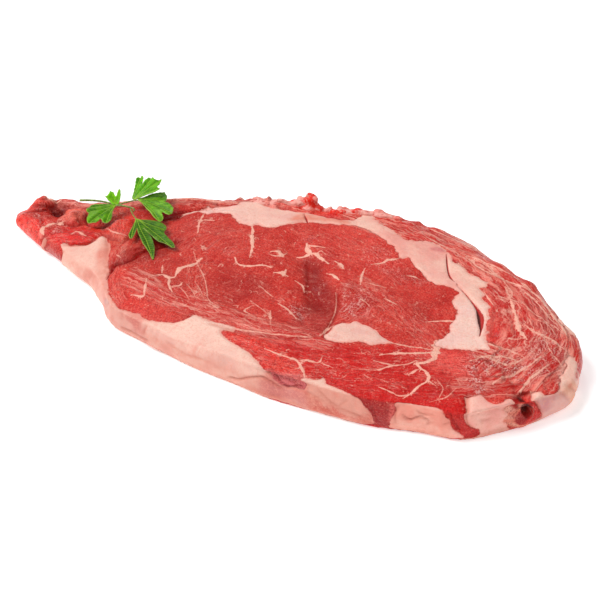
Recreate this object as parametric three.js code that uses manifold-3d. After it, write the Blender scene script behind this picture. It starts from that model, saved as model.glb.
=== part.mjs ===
// A raw boneless ribeye steak with a small sprig of flat-leaf parsley laid on its thin end.
// Millimetres, +Z up. The origin is under the middle of the steak, on the surface it lies on.
// +X runs along the steak, from the thin tail to the broad cap end.
import * as THREE from "three";
import { mergeVertices } from "three/addons/utils/BufferGeometryUtils.js";
import Module from "manifold-3d";

const wasm = await Module();
wasm.setup();

// ---- Driving dimensions ----

const CROWN = 13; // height of the cut face over the eye of the steak
const TAIL_HEIGHT = 9.5; // height of the cut face over the thin tail
const TAIL_FROM = -56; // x where the face starts to fall towards the tail
const TAIL_TO = -84; // x where it has come down to the tail's height
const SHOULDER = 13; // how far in from the rim the face takes to reach its full height

const SPOKES = 132; // points round the rim
const TOP_RINGS = 24; // rings of the cut face, from the rim to the hub
const HUB = new THREE.Vector2(-6, 5); // where the rings close
const RING_BIAS = 1.3; // above 1 the rings crowd towards the rim
const CLEAR = 2; // how far a cutter reaches out of the face
const WELD = 0.02; // slivers thinner than this are taken out of a joined body

// The rim, counterclockwise from the tip of the tail: x, y and the height of the edge there.
const RIM = [
  [-120.5, 19.5, 5],
  [-112, 11.5, 6.5],
  [-103, 5.5, 7.5],
  [-90, -2, 8],
  [-76, -10.5, 8.5],
  [-66, -18, 9.5],
  [-58.5, -26.5, 10],
  [-50, -36.5, 10],
  [-37.5, -41.5, 9.5],
  [-24, -46.5, 9.5],
  [-9, -51.5, 10.5],
  [6, -55, 11.5],
  [21.5, -59, 12],
  [39, -60.5, 12],
  [59, -61.6, 12],
  [73, -59.5, 12],
  [90.5, -58, 11.5],
  [102.5, -49, 11.5],
  [112.5, -39, 10.5],
  [119, -27, 10],
  [120.6, -14, 10],
  [118.5, -1, 9.5],
  [112, 7, 9.5],
  [104.5, 15.5, 10],
  [95.5, 28, 11],
  [82.5, 37.5, 11],
  [67.5, 49.5, 11],
  [49, 58.5, 11.5],
  [30, 61.5, 12],
  [12, 58.5, 11.5],
  [-8, 55, 12],
  [-28, 53, 12],
  [-48, 48, 11],
  [-66, 43, 10],
  [-84, 36.3, 8.3],
  [-100, 31.5, 7.8],
  [-112, 28.3, 7],
];

// The cut edge from the bottom up: how far in from the rim, and the share of the edge's height.
const EDGE_PROFILE = [
  [1.8, 0],
  [0.5, 0.22],
  [0, 0.5],
  [0.4, 0.8],
  [1.3, 1],
];

// Bundles of meat that swell out of the cut face: middle, half length, half width, turn and rise.
const SWELLS = [
  { at: [-42, -14], half: [22, 14], turn: -25, rise: 1 },
  { at: [42, -4], half: [18, 12], turn: -10, rise: 1.4 },
  { at: [-12, 26], half: [34, 18], turn: 5, rise: 0.8 },
  { at: [34, -34], half: [48, 10], turn: -5, rise: 0.8 },
  { at: [97, 0], half: [14, 26], turn: -10, rise: 1.2 },
  { at: [78, 34], half: [26, 9], turn: -38, rise: 1.2 },
  { at: [-110, 11], half: [12, 6], turn: -35, rise: 2 },
  { at: [-110.5, 25.5], half: [6, 5], turn: 0, rise: 4 },
  { at: [-87, 4], half: [14, 6], turn: -5, rise: 1.8 },
  { at: [-93, 18], half: [7, 5], turn: 20, rise: 2.2 },
  { at: [-80, 10], half: [9, 4.5], turn: -15, rise: 2 },
  { at: [-70, 15], half: [7, 8], turn: 15, rise: 2.2 },
  { at: [-85, 31], half: [22, 5], turn: 18, rise: 1.6 },
  { at: [-54, 42], half: [18, 4], turn: 15, rise: 1.4 },
];

// Seams and hollows pressed into the cut face: the path, how deep and how wide.
const FURROWS = [
  { path: [[2, 24], [9, 10], [18, -4], [25, -15]], depth: 2, width: 6 },
  { path: [[-103, 23], [-97, 19]], depth: 3.5, width: 3.4 },
  { path: [[-86, 17], [-78, 20], [-72, 22]], depth: 1.5, width: 2.6 },
  { path: [[-59, 20], [-56.5, 28], [-52, 34.5], [-44, 39.5], [-36, 42]], depth: 2.2, width: 2.6 },
  { path: [[100, -28], [104, -34], [107, -41]], depth: 3.5, width: 2.8 },
];

// Cuts with steep sides, opened by a wedge: the path, the half width of the mouth at each point, the depth.
const SLITS = [
  {
    path: [[58.5, 35], [61, 27], [64.5, 20.5], [70, 14.5], [75, 9.5], [79, 4], [81.5, -1], [83, -6], [83.5, -11]],
    halfWidth: [0.15, 0.3, 0.25, 0.35, 0.5, 0.9, 1.3, 1, 0.25],
    depth: 8,
  },
  {
    path: [[-62, -12.5], [-58.5, -12], [-56, -9], [-53.5, -5.5], [-51, -2], [-48.5, 2.5], [-45, 8], [-41, 12.5], [-37, 18]],
    halfWidth: [0.4, 0.9, 1.1, 1.3, 1.4, 1.3, 1, 0.7, 0.3],
    depth: 3.5,
  },
];

// Hollows: the pocket between two flaps of the cut edge near the cap end.
const HOLLOWS = [{ at: [107, -43.5, 5.5], half: [3.2, 4.5, 3.6] }];

const SHRED_ROOT = 3; // how deep a shred is rooted in the rim
const SHRED_FLAT = 0.8; // a shred's thickness as a share of its width
const SHRED_LEAN = 0.2; // how far a shred leans, in radians

// Shreds of torn meat that stand up from the back rim: where, height over the edge and width.
const SHREDS = [
  { at: [-33, 51], rise: 1, width: 3 },
  { at: [-26.5, 52], rise: 1, width: 3 },
  { at: [-20.5, 52.5], rise: 2, width: 2.6 },
  { at: [-14.5, 53.5], rise: 2.2, width: 2.8 },
  { at: [-10, 54.5], rise: 2.6, width: 3 },
  { at: [-4.8, 56.3], rise: 6, width: 2.6 },
  { at: [-1.5, 56.5], rise: 1.2, width: 2.4 },
  { at: [5.5, 57], rise: 0.8, width: 2.8 },
  { at: [11, 57.5], rise: 0.8, width: 2.4 },
  { at: [16, 59], rise: 2.2, width: 2.4 },
  { at: [21.5, 59.5], rise: 1, width: 2.6 },
];

// ---- Small helpers ----

const smoothstep = (a, b, x) => THREE.MathUtils.smoothstep(x, a, b);

// A geometry as a solid that can be cut and joined.
function solidOf(geometry) {
  const bare = geometry.clone();
  bare.deleteAttribute("normal");
  bare.deleteAttribute("uv");
  const merged = mergeVertices(bare, 1e-4);
  return new wasm.Manifold(
    new wasm.Mesh({
      numProp: 3,
      vertProperties: new Float32Array(merged.attributes.position.array),
      triVerts: new Uint32Array(merged.index.array),
    }),
  );
}

function geometryOf(solid) {
  const mesh = solid.getMesh();
  const geometry = new THREE.BufferGeometry();
  geometry.setAttribute("position", new THREE.BufferAttribute(new Float32Array(mesh.vertProperties), 3));
  geometry.setIndex(new THREE.BufferAttribute(new Uint32Array(mesh.triVerts), 1));
  geometry.computeVertexNormals();
  return geometry;
}

function geometryFrom(points, triangles) {
  const geometry = new THREE.BufferGeometry();
  geometry.setAttribute("position", new THREE.Float32BufferAttribute(points.flat(), 3));
  geometry.setIndex(triangles.flat());
  return geometry;
}

// Distance in plan from (x, y) to a path of points.
function distanceToPath(x, y, path) {
  let nearest = Infinity;
  for (let i = 0; i + 1 < path.length; i++) {
    const [ax, ay] = path[i];
    const dx = path[i + 1][0] - ax;
    const dy = path[i + 1][1] - ay;
    const t = THREE.MathUtils.clamp(((x - ax) * dx + (y - ay) * dy) / (dx * dx + dy * dy), 0, 1);
    nearest = Math.min(nearest, Math.hypot(x - ax - t * dx, y - ay - t * dy));
  }
  return nearest;
}

// ---- The steak ----

const rimCurve = new THREE.CatmullRomCurve3(
  RIM.map((p) => new THREE.Vector3(...p)),
  true,
  "centripetal",
);
const rim = rimCurve.getSpacedPoints(SPOKES).slice(0, SPOKES);

// Distance from (x, y) to the rim, and the height of the edge near there.
function rimAt(x, y) {
  let nearest = Infinity;
  let weights = 0;
  let heights = 0;
  for (const p of rim) {
    const d = Math.hypot(x - p.x, y - p.y);
    const weight = 1 / (d ** 3 + 0.01);
    weights += weight;
    heights += weight * p.z;
    nearest = Math.min(nearest, d);
  }
  return { distance: nearest, height: heights / weights };
}

function swellAt(x, y) {
  let height = 0;
  for (const { at, half, turn, rise } of SWELLS) {
    const a = THREE.MathUtils.degToRad(turn);
    const u = ((x - at[0]) * Math.cos(a) + (y - at[1]) * Math.sin(a)) / half[0];
    const v = ((y - at[1]) * Math.cos(a) - (x - at[0]) * Math.sin(a)) / half[1];
    const q = u * u + v * v;
    if (q < 1) height = Math.max(height, rise * (1 - q) ** 0.8);
  }
  return height;
}

function furrowAt(x, y) {
  let depth = 0;
  for (const furrow of FURROWS) {
    const d = distanceToPath(x, y, furrow.path) / furrow.width;
    depth = Math.max(depth, furrow.depth * Math.exp(-d * d));
  }
  return depth;
}

function faceHeight(x, y) {
  const { distance, height } = rimAt(x, y);
  const tail = smoothstep(-TAIL_FROM, -TAIL_TO, -x);
  const crown = CROWN + (TAIL_HEIGHT - CROWN) * tail;
  const rise = smoothstep(0, SHOULDER, distance);
  const edgeFade = smoothstep(0, 4, distance);
  return height + (crown - height) * rise + swellAt(x, y) * edgeFade - furrowAt(x, y) * edgeFade;
}

// A ring of the cut edge: every rim point moved in by inset and set at a share of the edge's height.
function edgeRing([inset, share]) {
  return rim.map((p, i) => {
    const before = rim[(i + SPOKES - 1) % SPOKES];
    const after = rim[(i + 1) % SPOKES];
    const along = new THREE.Vector2(after.x - before.x, after.y - before.y).normalize();
    return [p.x - along.y * inset, p.y + along.x * inset, p.z * share];
  });
}

// The slab as one closed body: a flat base, the cut edge and the cut face in rings round the hub.
function slab() {
  const rings = EDGE_PROFILE.map(edgeRing);
  const ridge = rings[rings.length - 1];
  for (let r = 1; r < TOP_RINGS; r++) {
    const share = 1 - (r / TOP_RINGS) ** RING_BIAS;
    rings.push(
      ridge.map(([x, y]) => {
        const px = HUB.x + (x - HUB.x) * share;
        const py = HUB.y + (y - HUB.y) * share;
        return [px, py, faceHeight(px, py)];
      }),
    );
  }
  const points = rings.flat();
  const top = points.push([HUB.x, HUB.y, faceHeight(HUB.x, HUB.y)]) - 1;
  const base = points.push([HUB.x, HUB.y, 0]) - 1;
  const triangles = [];
  const last = (rings.length - 1) * SPOKES;
  for (let i = 0; i < SPOKES; i++) {
    const j = (i + 1) % SPOKES;
    for (let r = 0; r + 1 < rings.length; r++) {
      const [a, b] = [r * SPOKES + i, r * SPOKES + j];
      triangles.push([a, b, b + SPOKES], [a, b + SPOKES, a + SPOKES]);
    }
    triangles.push([last + i, last + j, top], [j, i, base]);
  }
  return geometryFrom(points, triangles);
}

// A wedge with its edge down, swept along a slit and reaching above the face.
function slitCutter({ path, halfWidth, depth }) {
  const points = [];
  const triangles = [];
  path.forEach(([x, y], i) => {
    const [ax, ay] = path[Math.max(i - 1, 0)];
    const [bx, by] = path[Math.min(i + 1, path.length - 1)];
    const down = depth * Math.sqrt(halfWidth[i] / Math.max(...halfWidth));
    const mouth = (halfWidth[i] * (down + CLEAR)) / down;
    const across = new THREE.Vector2(ay - by, bx - ax).normalize().multiplyScalar(mouth);
    const z = faceHeight(x, y);
    points.push([x + across.x, y + across.y, z + CLEAR], [x - across.x, y - across.y, z + CLEAR]);
    points.push([x, y, z - down]);
  });
  for (let s = 0; s + 3 < points.length; s += 3) {
    for (let k = 0; k < 3; k++) {
      const n = (k + 1) % 3;
      triangles.push([s + k, s + n, s + n + 3], [s + k, s + n + 3, s + k + 3]);
    }
  }
  const end = points.length - 3;
  triangles.push([2, 1, 0], [end, end + 1, end + 2]);
  return geometryFrom(points, triangles);
}

function hollowCutter({ at, half }) {
  return new THREE.IcosahedronGeometry(1, 3).scale(...half).translate(...at);
}

// A ragged lump of torn meat, rooted in the rim and narrower at its tip.
function shred({ at, rise, width }, index) {
  const { height } = rimAt(...at);
  const lump = new THREE.IcosahedronGeometry(1, 2);
  const p = lump.attributes.position;
  for (let i = 0; i < p.count; i++) {
    const [x, y, z] = [p.getX(i), p.getY(i), p.getZ(i)];
    const ragged = (1 + 0.2 * Math.sin(4 * x + index) * Math.sin(5 * z + 2 * index)) * width;
    const taper = 1 - 0.45 * Math.max(z, 0) ** 2;
    p.setXYZ(i, x * ragged * taper, y * ragged * taper * SHRED_FLAT, z * (z > 0 ? rise + SHRED_ROOT : SHRED_ROOT));
  }
  return lump.rotateY(SHRED_LEAN * Math.sin(index * 2)).translate(at[0], at[1], height - SHRED_ROOT);
}

function steakGeometry() {
  const body = SHREDS.map(shred).map(solidOf).reduce((a, b) => a.add(b), solidOf(slab()));
  const cutters = [...SLITS.map(slitCutter), ...HOLLOWS.map(hollowCutter)].map(solidOf);
  return geometryOf(cutters.reduce((a, b) => a.subtract(b), body).simplify(WELD));
}

// ---- The parsley sprig ----

const LEAF_THICKNESS = 0.5;
const LEAF_FOOT = 0.9; // how far from its foot a leaflet starts to widen
const LOBE_STEPS = 5; // steps round the edge from one lobe to the next
const LEAF_RINGS = 4; // steps from the foot to the edge
const LOBE_BLUNTNESS = 1.4; // 1 for pointed lobes, 2 for round ones

// Each stalk: its points, and its radius.
const STALKS = [
  { path: [[-93.5, 26.2, 13], [-87.7, 26.9, 13.3], [-81.3, 26.7, 13.8], [-75.9, 25, 14.4]], radius: 0.65 },
  { path: [[-76.6, 25, 14.4], [-73.8, 27.1, 14.8], [-71.5, 29, 15.1], [-68.6, 30.6, 15.6]], radius: 0.5 },
  { path: [[-76.6, 25.2, 14.4], [-70.4, 23.2, 14.8], [-67.3, 20.9, 14.9], [-63.4, 17.3, 15]], radius: 0.45 },
];

// Each leaflet: its foot, its heading in plan, the lift of its tip, how far it droops, and its lobes.
// A lobe is its angle from the heading, its length and half width.
const LEAFLETS = [
  {
    foot: [-76.1, 25.3, 14.4],
    heading: 115,
    lift: 50,
    droop: 0.4,
    lobes: [[-11, 7.2, 0.9], [14, 5.4, 0.7], [26, 6.6, 0.9], [48, 5.8, 0.9]],
  },
  {
    foot: [-76.4, 25.2, 14.4],
    heading: 232,
    lift: -2,
    droop: 0.6,
    lobes: [[-30, 10.2, 1.8], [-6, 12.6, 2], [22, 14.2, 1.8], [48, 12.2, 1.7]],
  },
  {
    foot: [-71.2, 29.6, 15.2],
    heading: 75,
    lift: 30,
    droop: 0.6,
    lobes: [[-40, 11.8, 1.5], [-22, 14, 1.7], [-3, 12.6, 1.8], [22, 12, 1.9]],
  },
  {
    foot: [-69.4, 30.4, 15.7],
    heading: 0,
    lift: 0,
    droop: 0.8,
    lobes: [[-39, 19.4, 1.9], [-12, 17.6, 2.2], [6, 14.6, 1.8], [38, 12, 2]],
  },
  {
    foot: [-63.8, 17.7, 15],
    heading: 300,
    lift: 0,
    droop: 1,
    lobes: [[-17, 13, 1.1], [8, 27, 2.9], [29, 25, 2.2], [42, 20, 2.2], [56, 15, 2.2], [70, 9, 1.6]],
  },
];

// How far the edge of a leaflet reaches from its foot in a direction, in degrees from its heading.
function leafReach(angle, lobes) {
  let reach = LEAF_FOOT;
  for (const [middle, length, halfWidth] of lobes) {
    const spread = (3.3 * halfWidth) / length;
    const off = Math.abs(Math.tan(THREE.MathUtils.degToRad(angle - middle))) / spread;
    reach = Math.max(reach, length * (1 - off ** LOBE_BLUNTNESS));
  }
  return reach;
}

// The directions in which a leaflet's edge has points: past its first lobe, to and between lobes, past its last.
function leafAngles(lobes) {
  const stops = lobes.map(([angle]) => angle);
  const margin = ([, length, halfWidth]) =>
    THREE.MathUtils.radToDeg(Math.atan((3.3 * halfWidth) / length));
  stops.unshift(stops[0] - margin(lobes[0]));
  stops.push(stops[stops.length - 1] + margin(lobes[lobes.length - 1]));
  const angles = [stops[0]];
  for (let i = 0; i + 1 < stops.length; i++) {
    for (let k = 1; k <= LOBE_STEPS; k++) {
      angles.push(THREE.MathUtils.lerp(stops[i], stops[i + 1], k / LOBE_STEPS));
    }
  }
  return angles;
}

// A thin wavy leaflet: two faces with the same triangles, a fan round its foot, joined at the edge.
function leaflet({ foot, heading, lift, droop, lobes }) {
  const longest = Math.max(...lobes.map(([, length]) => length));
  const angles = leafAngles(lobes);
  const points = [];
  for (const side of [1, -1]) {
    for (let r = 0; r <= LEAF_RINGS; r++) {
      for (const angle of angles) {
        const share = (r + 0.3) / (LEAF_RINGS + 0.3);
        const reach = leafReach(angle, lobes) * share;
        const along = reach / longest;
        const a = THREE.MathUtils.degToRad(angle);
        const z = 0.35 * Math.sin(6 * a + 5 * along) * along - droop * along * along;
        points.push([reach * Math.cos(a), reach * Math.sin(a), z + (side * LEAF_THICKNESS) / 2]);
      }
    }
  }
  const row = angles.length;
  const under = row * (LEAF_RINGS + 1);
  const last = row - 1;
  const triangles = [];
  for (let r = 0; r < LEAF_RINGS; r++) {
    for (let s = 0; s < last; s++) {
      const a = r * row + s;
      const [b, c, d] = [a + 1, a + row, a + row + 1];
      triangles.push([a, c, d], [a, d, b]);
      triangles.push([under + d, under + c, under + a], [under + b, under + d, under + a]);
    }
  }
  const edge = [];
  for (let s = 0; s < last; s++) edge.push([s + 1, s], [LEAF_RINGS * row + s, LEAF_RINGS * row + s + 1]);
  for (let r = 0; r < LEAF_RINGS; r++) edge.push([r * row, (r + 1) * row], [(r + 1) * row + last, r * row + last]);
  for (const [a, b] of edge) triangles.push([b, a, under + a], [b, under + a, under + b]);
  return geometryFrom(points, triangles)
    .rotateY(-THREE.MathUtils.degToRad(lift))
    .rotateZ(THREE.MathUtils.degToRad(heading))
    .translate(...foot);
}

function stalk({ path, radius }) {
  const curve = new THREE.CatmullRomCurve3(path.map((p) => new THREE.Vector3(...p)));
  const section = new THREE.Shape().absarc(0, 0, radius, 0, 2 * Math.PI);
  return new THREE.ExtrudeGeometry(section, { steps: 9, extrudePath: curve, curveSegments: 4 });
}

function sprigGeometry() {
  const pieces = [...STALKS.map(stalk), ...LEAFLETS.map(leaflet)];
  return geometryOf(pieces.map(solidOf).reduce((a, b) => a.add(b)).simplify(WELD));
}

// ---- The object ----

const meat = new THREE.MeshStandardMaterial({ color: 0xc8423a, roughness: 0.45, metalness: 0 });
const leaf = new THREE.MeshStandardMaterial({ color: 0x4c9a2a, roughness: 0.55, metalness: 0 });

const steak = new THREE.Mesh(steakGeometry(), meat);
steak.name = "steak";

const sprig = new THREE.Mesh(sprigGeometry(), leaf);
sprig.name = "parsley_sprig";

const group = new THREE.Group();
group.add(steak, sprig);

export default group;
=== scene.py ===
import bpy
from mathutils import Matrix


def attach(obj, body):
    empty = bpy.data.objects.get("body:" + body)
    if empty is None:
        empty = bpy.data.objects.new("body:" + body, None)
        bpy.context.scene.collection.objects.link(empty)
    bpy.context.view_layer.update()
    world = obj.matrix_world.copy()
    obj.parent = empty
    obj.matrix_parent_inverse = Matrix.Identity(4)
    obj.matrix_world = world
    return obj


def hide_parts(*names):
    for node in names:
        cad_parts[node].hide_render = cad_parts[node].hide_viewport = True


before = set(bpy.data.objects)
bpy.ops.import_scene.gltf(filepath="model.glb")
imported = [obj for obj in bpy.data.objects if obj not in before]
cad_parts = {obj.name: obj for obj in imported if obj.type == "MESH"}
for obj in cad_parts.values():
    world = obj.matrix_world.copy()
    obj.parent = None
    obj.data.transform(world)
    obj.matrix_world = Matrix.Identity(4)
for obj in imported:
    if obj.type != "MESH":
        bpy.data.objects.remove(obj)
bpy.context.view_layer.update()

import math

import bmesh
import bpy
import numpy as np
from mathutils import Matrix, Vector
from mathutils.geometry import delaunay_2d_cdt

bl_info = {
    "name": "Raw ribeye steak",
    "version": (1, 0, 0),
    "blender": (4, 5, 0),
    "location": "View3D > Sidebar > Ribeye",
    "description": "Dresses the steak and its parsley sprig, and sets the stage",
    "category": "Object",
}

MM = 0.001  # the lists below are in millimetres


def linear(*bytes_):
    """A screen colour of 0 to 255 as the linear colour that Blender works in."""
    shares = [b / 255 for b in bytes_]
    return tuple(s / 12.92 if s <= 0.04045 else ((s + 0.055) / 1.055) ** 2.4 for s in shares)


# ---- The steak in plan: x runs from the thin tail to the broad cap end, y towards the back ----

# The foot of the cut edge, from the tip of the tail along the front.
RIM = [
    (-120.5, 19.5), (-112, 11.5), (-103, 5.5), (-90, -2), (-76, -10.5), (-66, -18), (-58.5, -26.5),
    (-50, -36.5), (-37.5, -41.5), (-24, -46.5), (-9, -51.5), (6, -55), (21.5, -59), (39, -60.5),
    (59, -61.6), (73, -59.5), (90.5, -58), (102.5, -49), (112.5, -39), (119, -27), (120.6, -14),
    (118.5, -1), (112, 7), (104.5, 15.5), (95.5, 28), (82.5, 37.5), (67.5, 49.5), (49, 58.5), (30, 61.5),
    (12, 58.5), (-8, 55), (-28, 53), (-48, 48), (-66, 43), (-84, 36.3), (-100, 31.5), (-112, 28.3),
]

# Fat on the cut face, as outlines.
FAT_OUTLINES = {
    "front_left": [
        (-88, -0.4), (-84, -0.9), (-80, -0.5), (-76.5, 0.8), (-75.2, 3.5), (-74, 6), (-72, 6), (-70, 3.5),
        (-67.5, 1), (-66, -2), (-64.5, -6), (-62, -12), (-59.5, -17), (-57, -23), (-54, -28.5), (-50, -33),
        (-47, -35.8), (-44, -37.2), (-38, -37.6), (-35.5, -38.6), (-33, -40), (-27, -40.2), (-22, -40.3),
        (-18.5, -38.6), (-17, -36.8), (-15.8, -35.2), (-13, -36), (-8, -37), (-3, -37.3), (1, -38),
        (1, -39.2), (-2, -40), (-3, -42), (-1, -43.5), (3, -46.2), (7, -48), (10.5, -49.5), (14, -52.5),
        (17.5, -55.3), (20, -58.5), (21, -66), (-40, -56), (-75, -35), (-95, -12),
    ],
    "cap_seam": [
        (25, 43), (30, 40.5), (34, 37.5), (38, 34), (40, 31), (41.5, 28.5), (43, 27.8), (45, 28.8),
        (47, 27), (50, 23), (54, 18.5), (57, 16.2), (60, 14.2), (64, 14.5), (67.5, 13.2), (69.8, 10.5),
        (69.3, 7.5), (68.6, 5.5), (70, 3), (71.5, 1), (73, -3), (73, -6.5), (72.3, -10), (73, -13),
        (72.7, -17), (71.5, -20), (70, -22.2), (70.5, -24.2), (75, -24.4), (80, -23.6), (84, -22.7),
        (87, -21.5), (89.5, -21), (88.5, -18.5), (86.5, -15.5), (85.3, -11), (84.3, -6), (84, -1),
        (82.5, 3), (83, 6.5), (80.5, 8), (79, 12), (77.3, 15), (76, 17.5), (77, 19), (79, 20.5), (78, 22.5),
        (74.5, 23.6), (70, 26), (66, 30), (62.5, 32.5), (60, 35), (58.5, 38), (56.5, 40.2), (52, 43),
        (48, 43.6), (44, 41.8), (41, 41.5), (38, 43), (34, 46), (31, 48), (28, 50), (25, 52.5), (23.5, 55),
        (24, 58), (23, 66), (17, 66), (17.5, 54), (17, 49), (19, 46),
    ],
    "top_band": [
        (-50.5, 27), (-48.5, 31), (-46, 34), (-42, 34.2), (-40, 33.5), (-38, 36), (-36, 37), (-33, 36.5),
        (-31, 37), (-29.5, 35), (-27, 32), (-25, 30.5), (-22, 31), (-20, 30), (-18, 32), (-15, 31),
        (-12, 31.5), (-10, 33), (-8, 35), (-5, 37.5), (0, 41), (5, 42.3), (10, 43.3), (15, 44.3), (20, 45),
        (24, 44), (22, 50), (17, 49.6), (12, 48.8), (5, 48.3), (0, 48.6), (-5, 48.3), (-12, 48.4),
        (-18, 48.2), (-22, 49), (-26, 50.2), (-30, 49.4), (-33, 46.6), (-36, 44.8), (-41, 43), (-45, 40.5),
        (-48, 37.3), (-50, 33),
    ],
    "island": [
        (39.5, -19.2), (42, -20.3), (45, -20.8), (48, -22.3), (51, -24.8), (54, -26.8), (56.3, -28),
        (53, -30.5), (50, -32.8), (46, -32), (42, -34), (38, -35.2), (33.5, -34.6), (32.5, -32),
        (33.6, -28), (33.4, -25), (35.5, -22.2), (38, -21.3),
    ],
    "front_chip": [
        (33.5, -60), (33, -57.6), (36, -57), (39, -56), (40.3, -54.6), (41.5, -57), (44, -58), (48, -59),
        (52, -60.3), (55, -63), (54, -66), (33, -66),
    ],
    "front_strip": [(66, -61), (70, -59), (75, -58.3), (80, -57.4), (85, -58.8), (84, -64), (67, -66)],
    "flap": [
        (88, -49.2), (90, -48), (93, -46.6), (95, -47.8), (98, -48.5), (100, -47.2), (101.2, -44.5),
        (102.8, -43.2), (103.8, -44.5), (103.5, -47), (101, -56), (96, -64), (92, -66), (91, -57.5),
        (90, -54), (88.6, -51),
    ],
    "right_rim": [
        (115.2, -12), (118.4, -12), (121.4, -19), (124, -28.6), (118.2, -32), (115.4, -28), (115.6, -19),
    ],
    "right_chip": [(108, -36.4), (110, -35.6), (113, -37), (114, -40), (110, -43), (108.6, -40)],
    "cap_corner": [(107, 8), (110, 5), (113, 1), (115, 0), (118, 2), (112, 10), (108, 13)],
}

# Fat on the cut edge: distance round the rim from the tail tip, and height.
EDGE_FAT_OUTLINES = {
    "tail_strand": [
        (26.8, -2), (27.5, 3), (28, 7), (27, 10), (29, 13), (33, 14), (30.5, 10), (30, 5), (30, -2),
    ],
    "front": [
        (42.5, -2), (43, 3), (42.6, 8), (43, 11), (44, 20), (164, 20), (163.5, 13), (165.5, 10.5),
        (168, 8.6), (172, 7.2), (175, 8.2), (180, 9.3), (180, 20), (187, 17), (190, 14), (196, 12.4),
        (200, 10.8), (203, 7.8), (204.4, 5), (205, 1.5), (204, -2),
    ],
    "front_two": [
        (211, -2), (211.3, 6), (212.4, 9), (211.8, 12), (214, 13.4), (218, 13.2), (222, 13), (225, 12.6),
        (228, 11), (230, 9), (232, 6), (235, 3), (237, -2),
    ],
    "flap": [
        (234.6, 20), (235.4, 11), (237, 7), (239, 5), (241.5, 4), (243, -2), (256, -2), (252.6, 1.6),
        (252, 3.4), (250.4, 5.4), (251.8, 7.6), (250.6, 9.4), (252, 11.4), (251, 20),
    ],
    "right_end": [
        (265, -2), (265.2, 4), (262.6, 10), (261.4, 12), (266, 12.6), (271, 11.4), (276, 12), (279, 9.4),
        (283, 10.4), (286, 8), (289, 9), (290, 5), (288, -2),
    ],
    "back_one": [(318, -2), (320, 8), (330, 20), (352, 20), (349, 8), (352, -2)],
    "back_two": [(372, -2), (374, 9), (384, 11), (398, 8), (402, -2)],
    "back_three": [(436, -2), (438, 10), (446, 20), (492, 20), (500, 8), (498, -2)],
    "back_tail": [(520, 4), (530, 8), (548, 8), (556, 4), (548, -2), (524, -2)],
}

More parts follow.
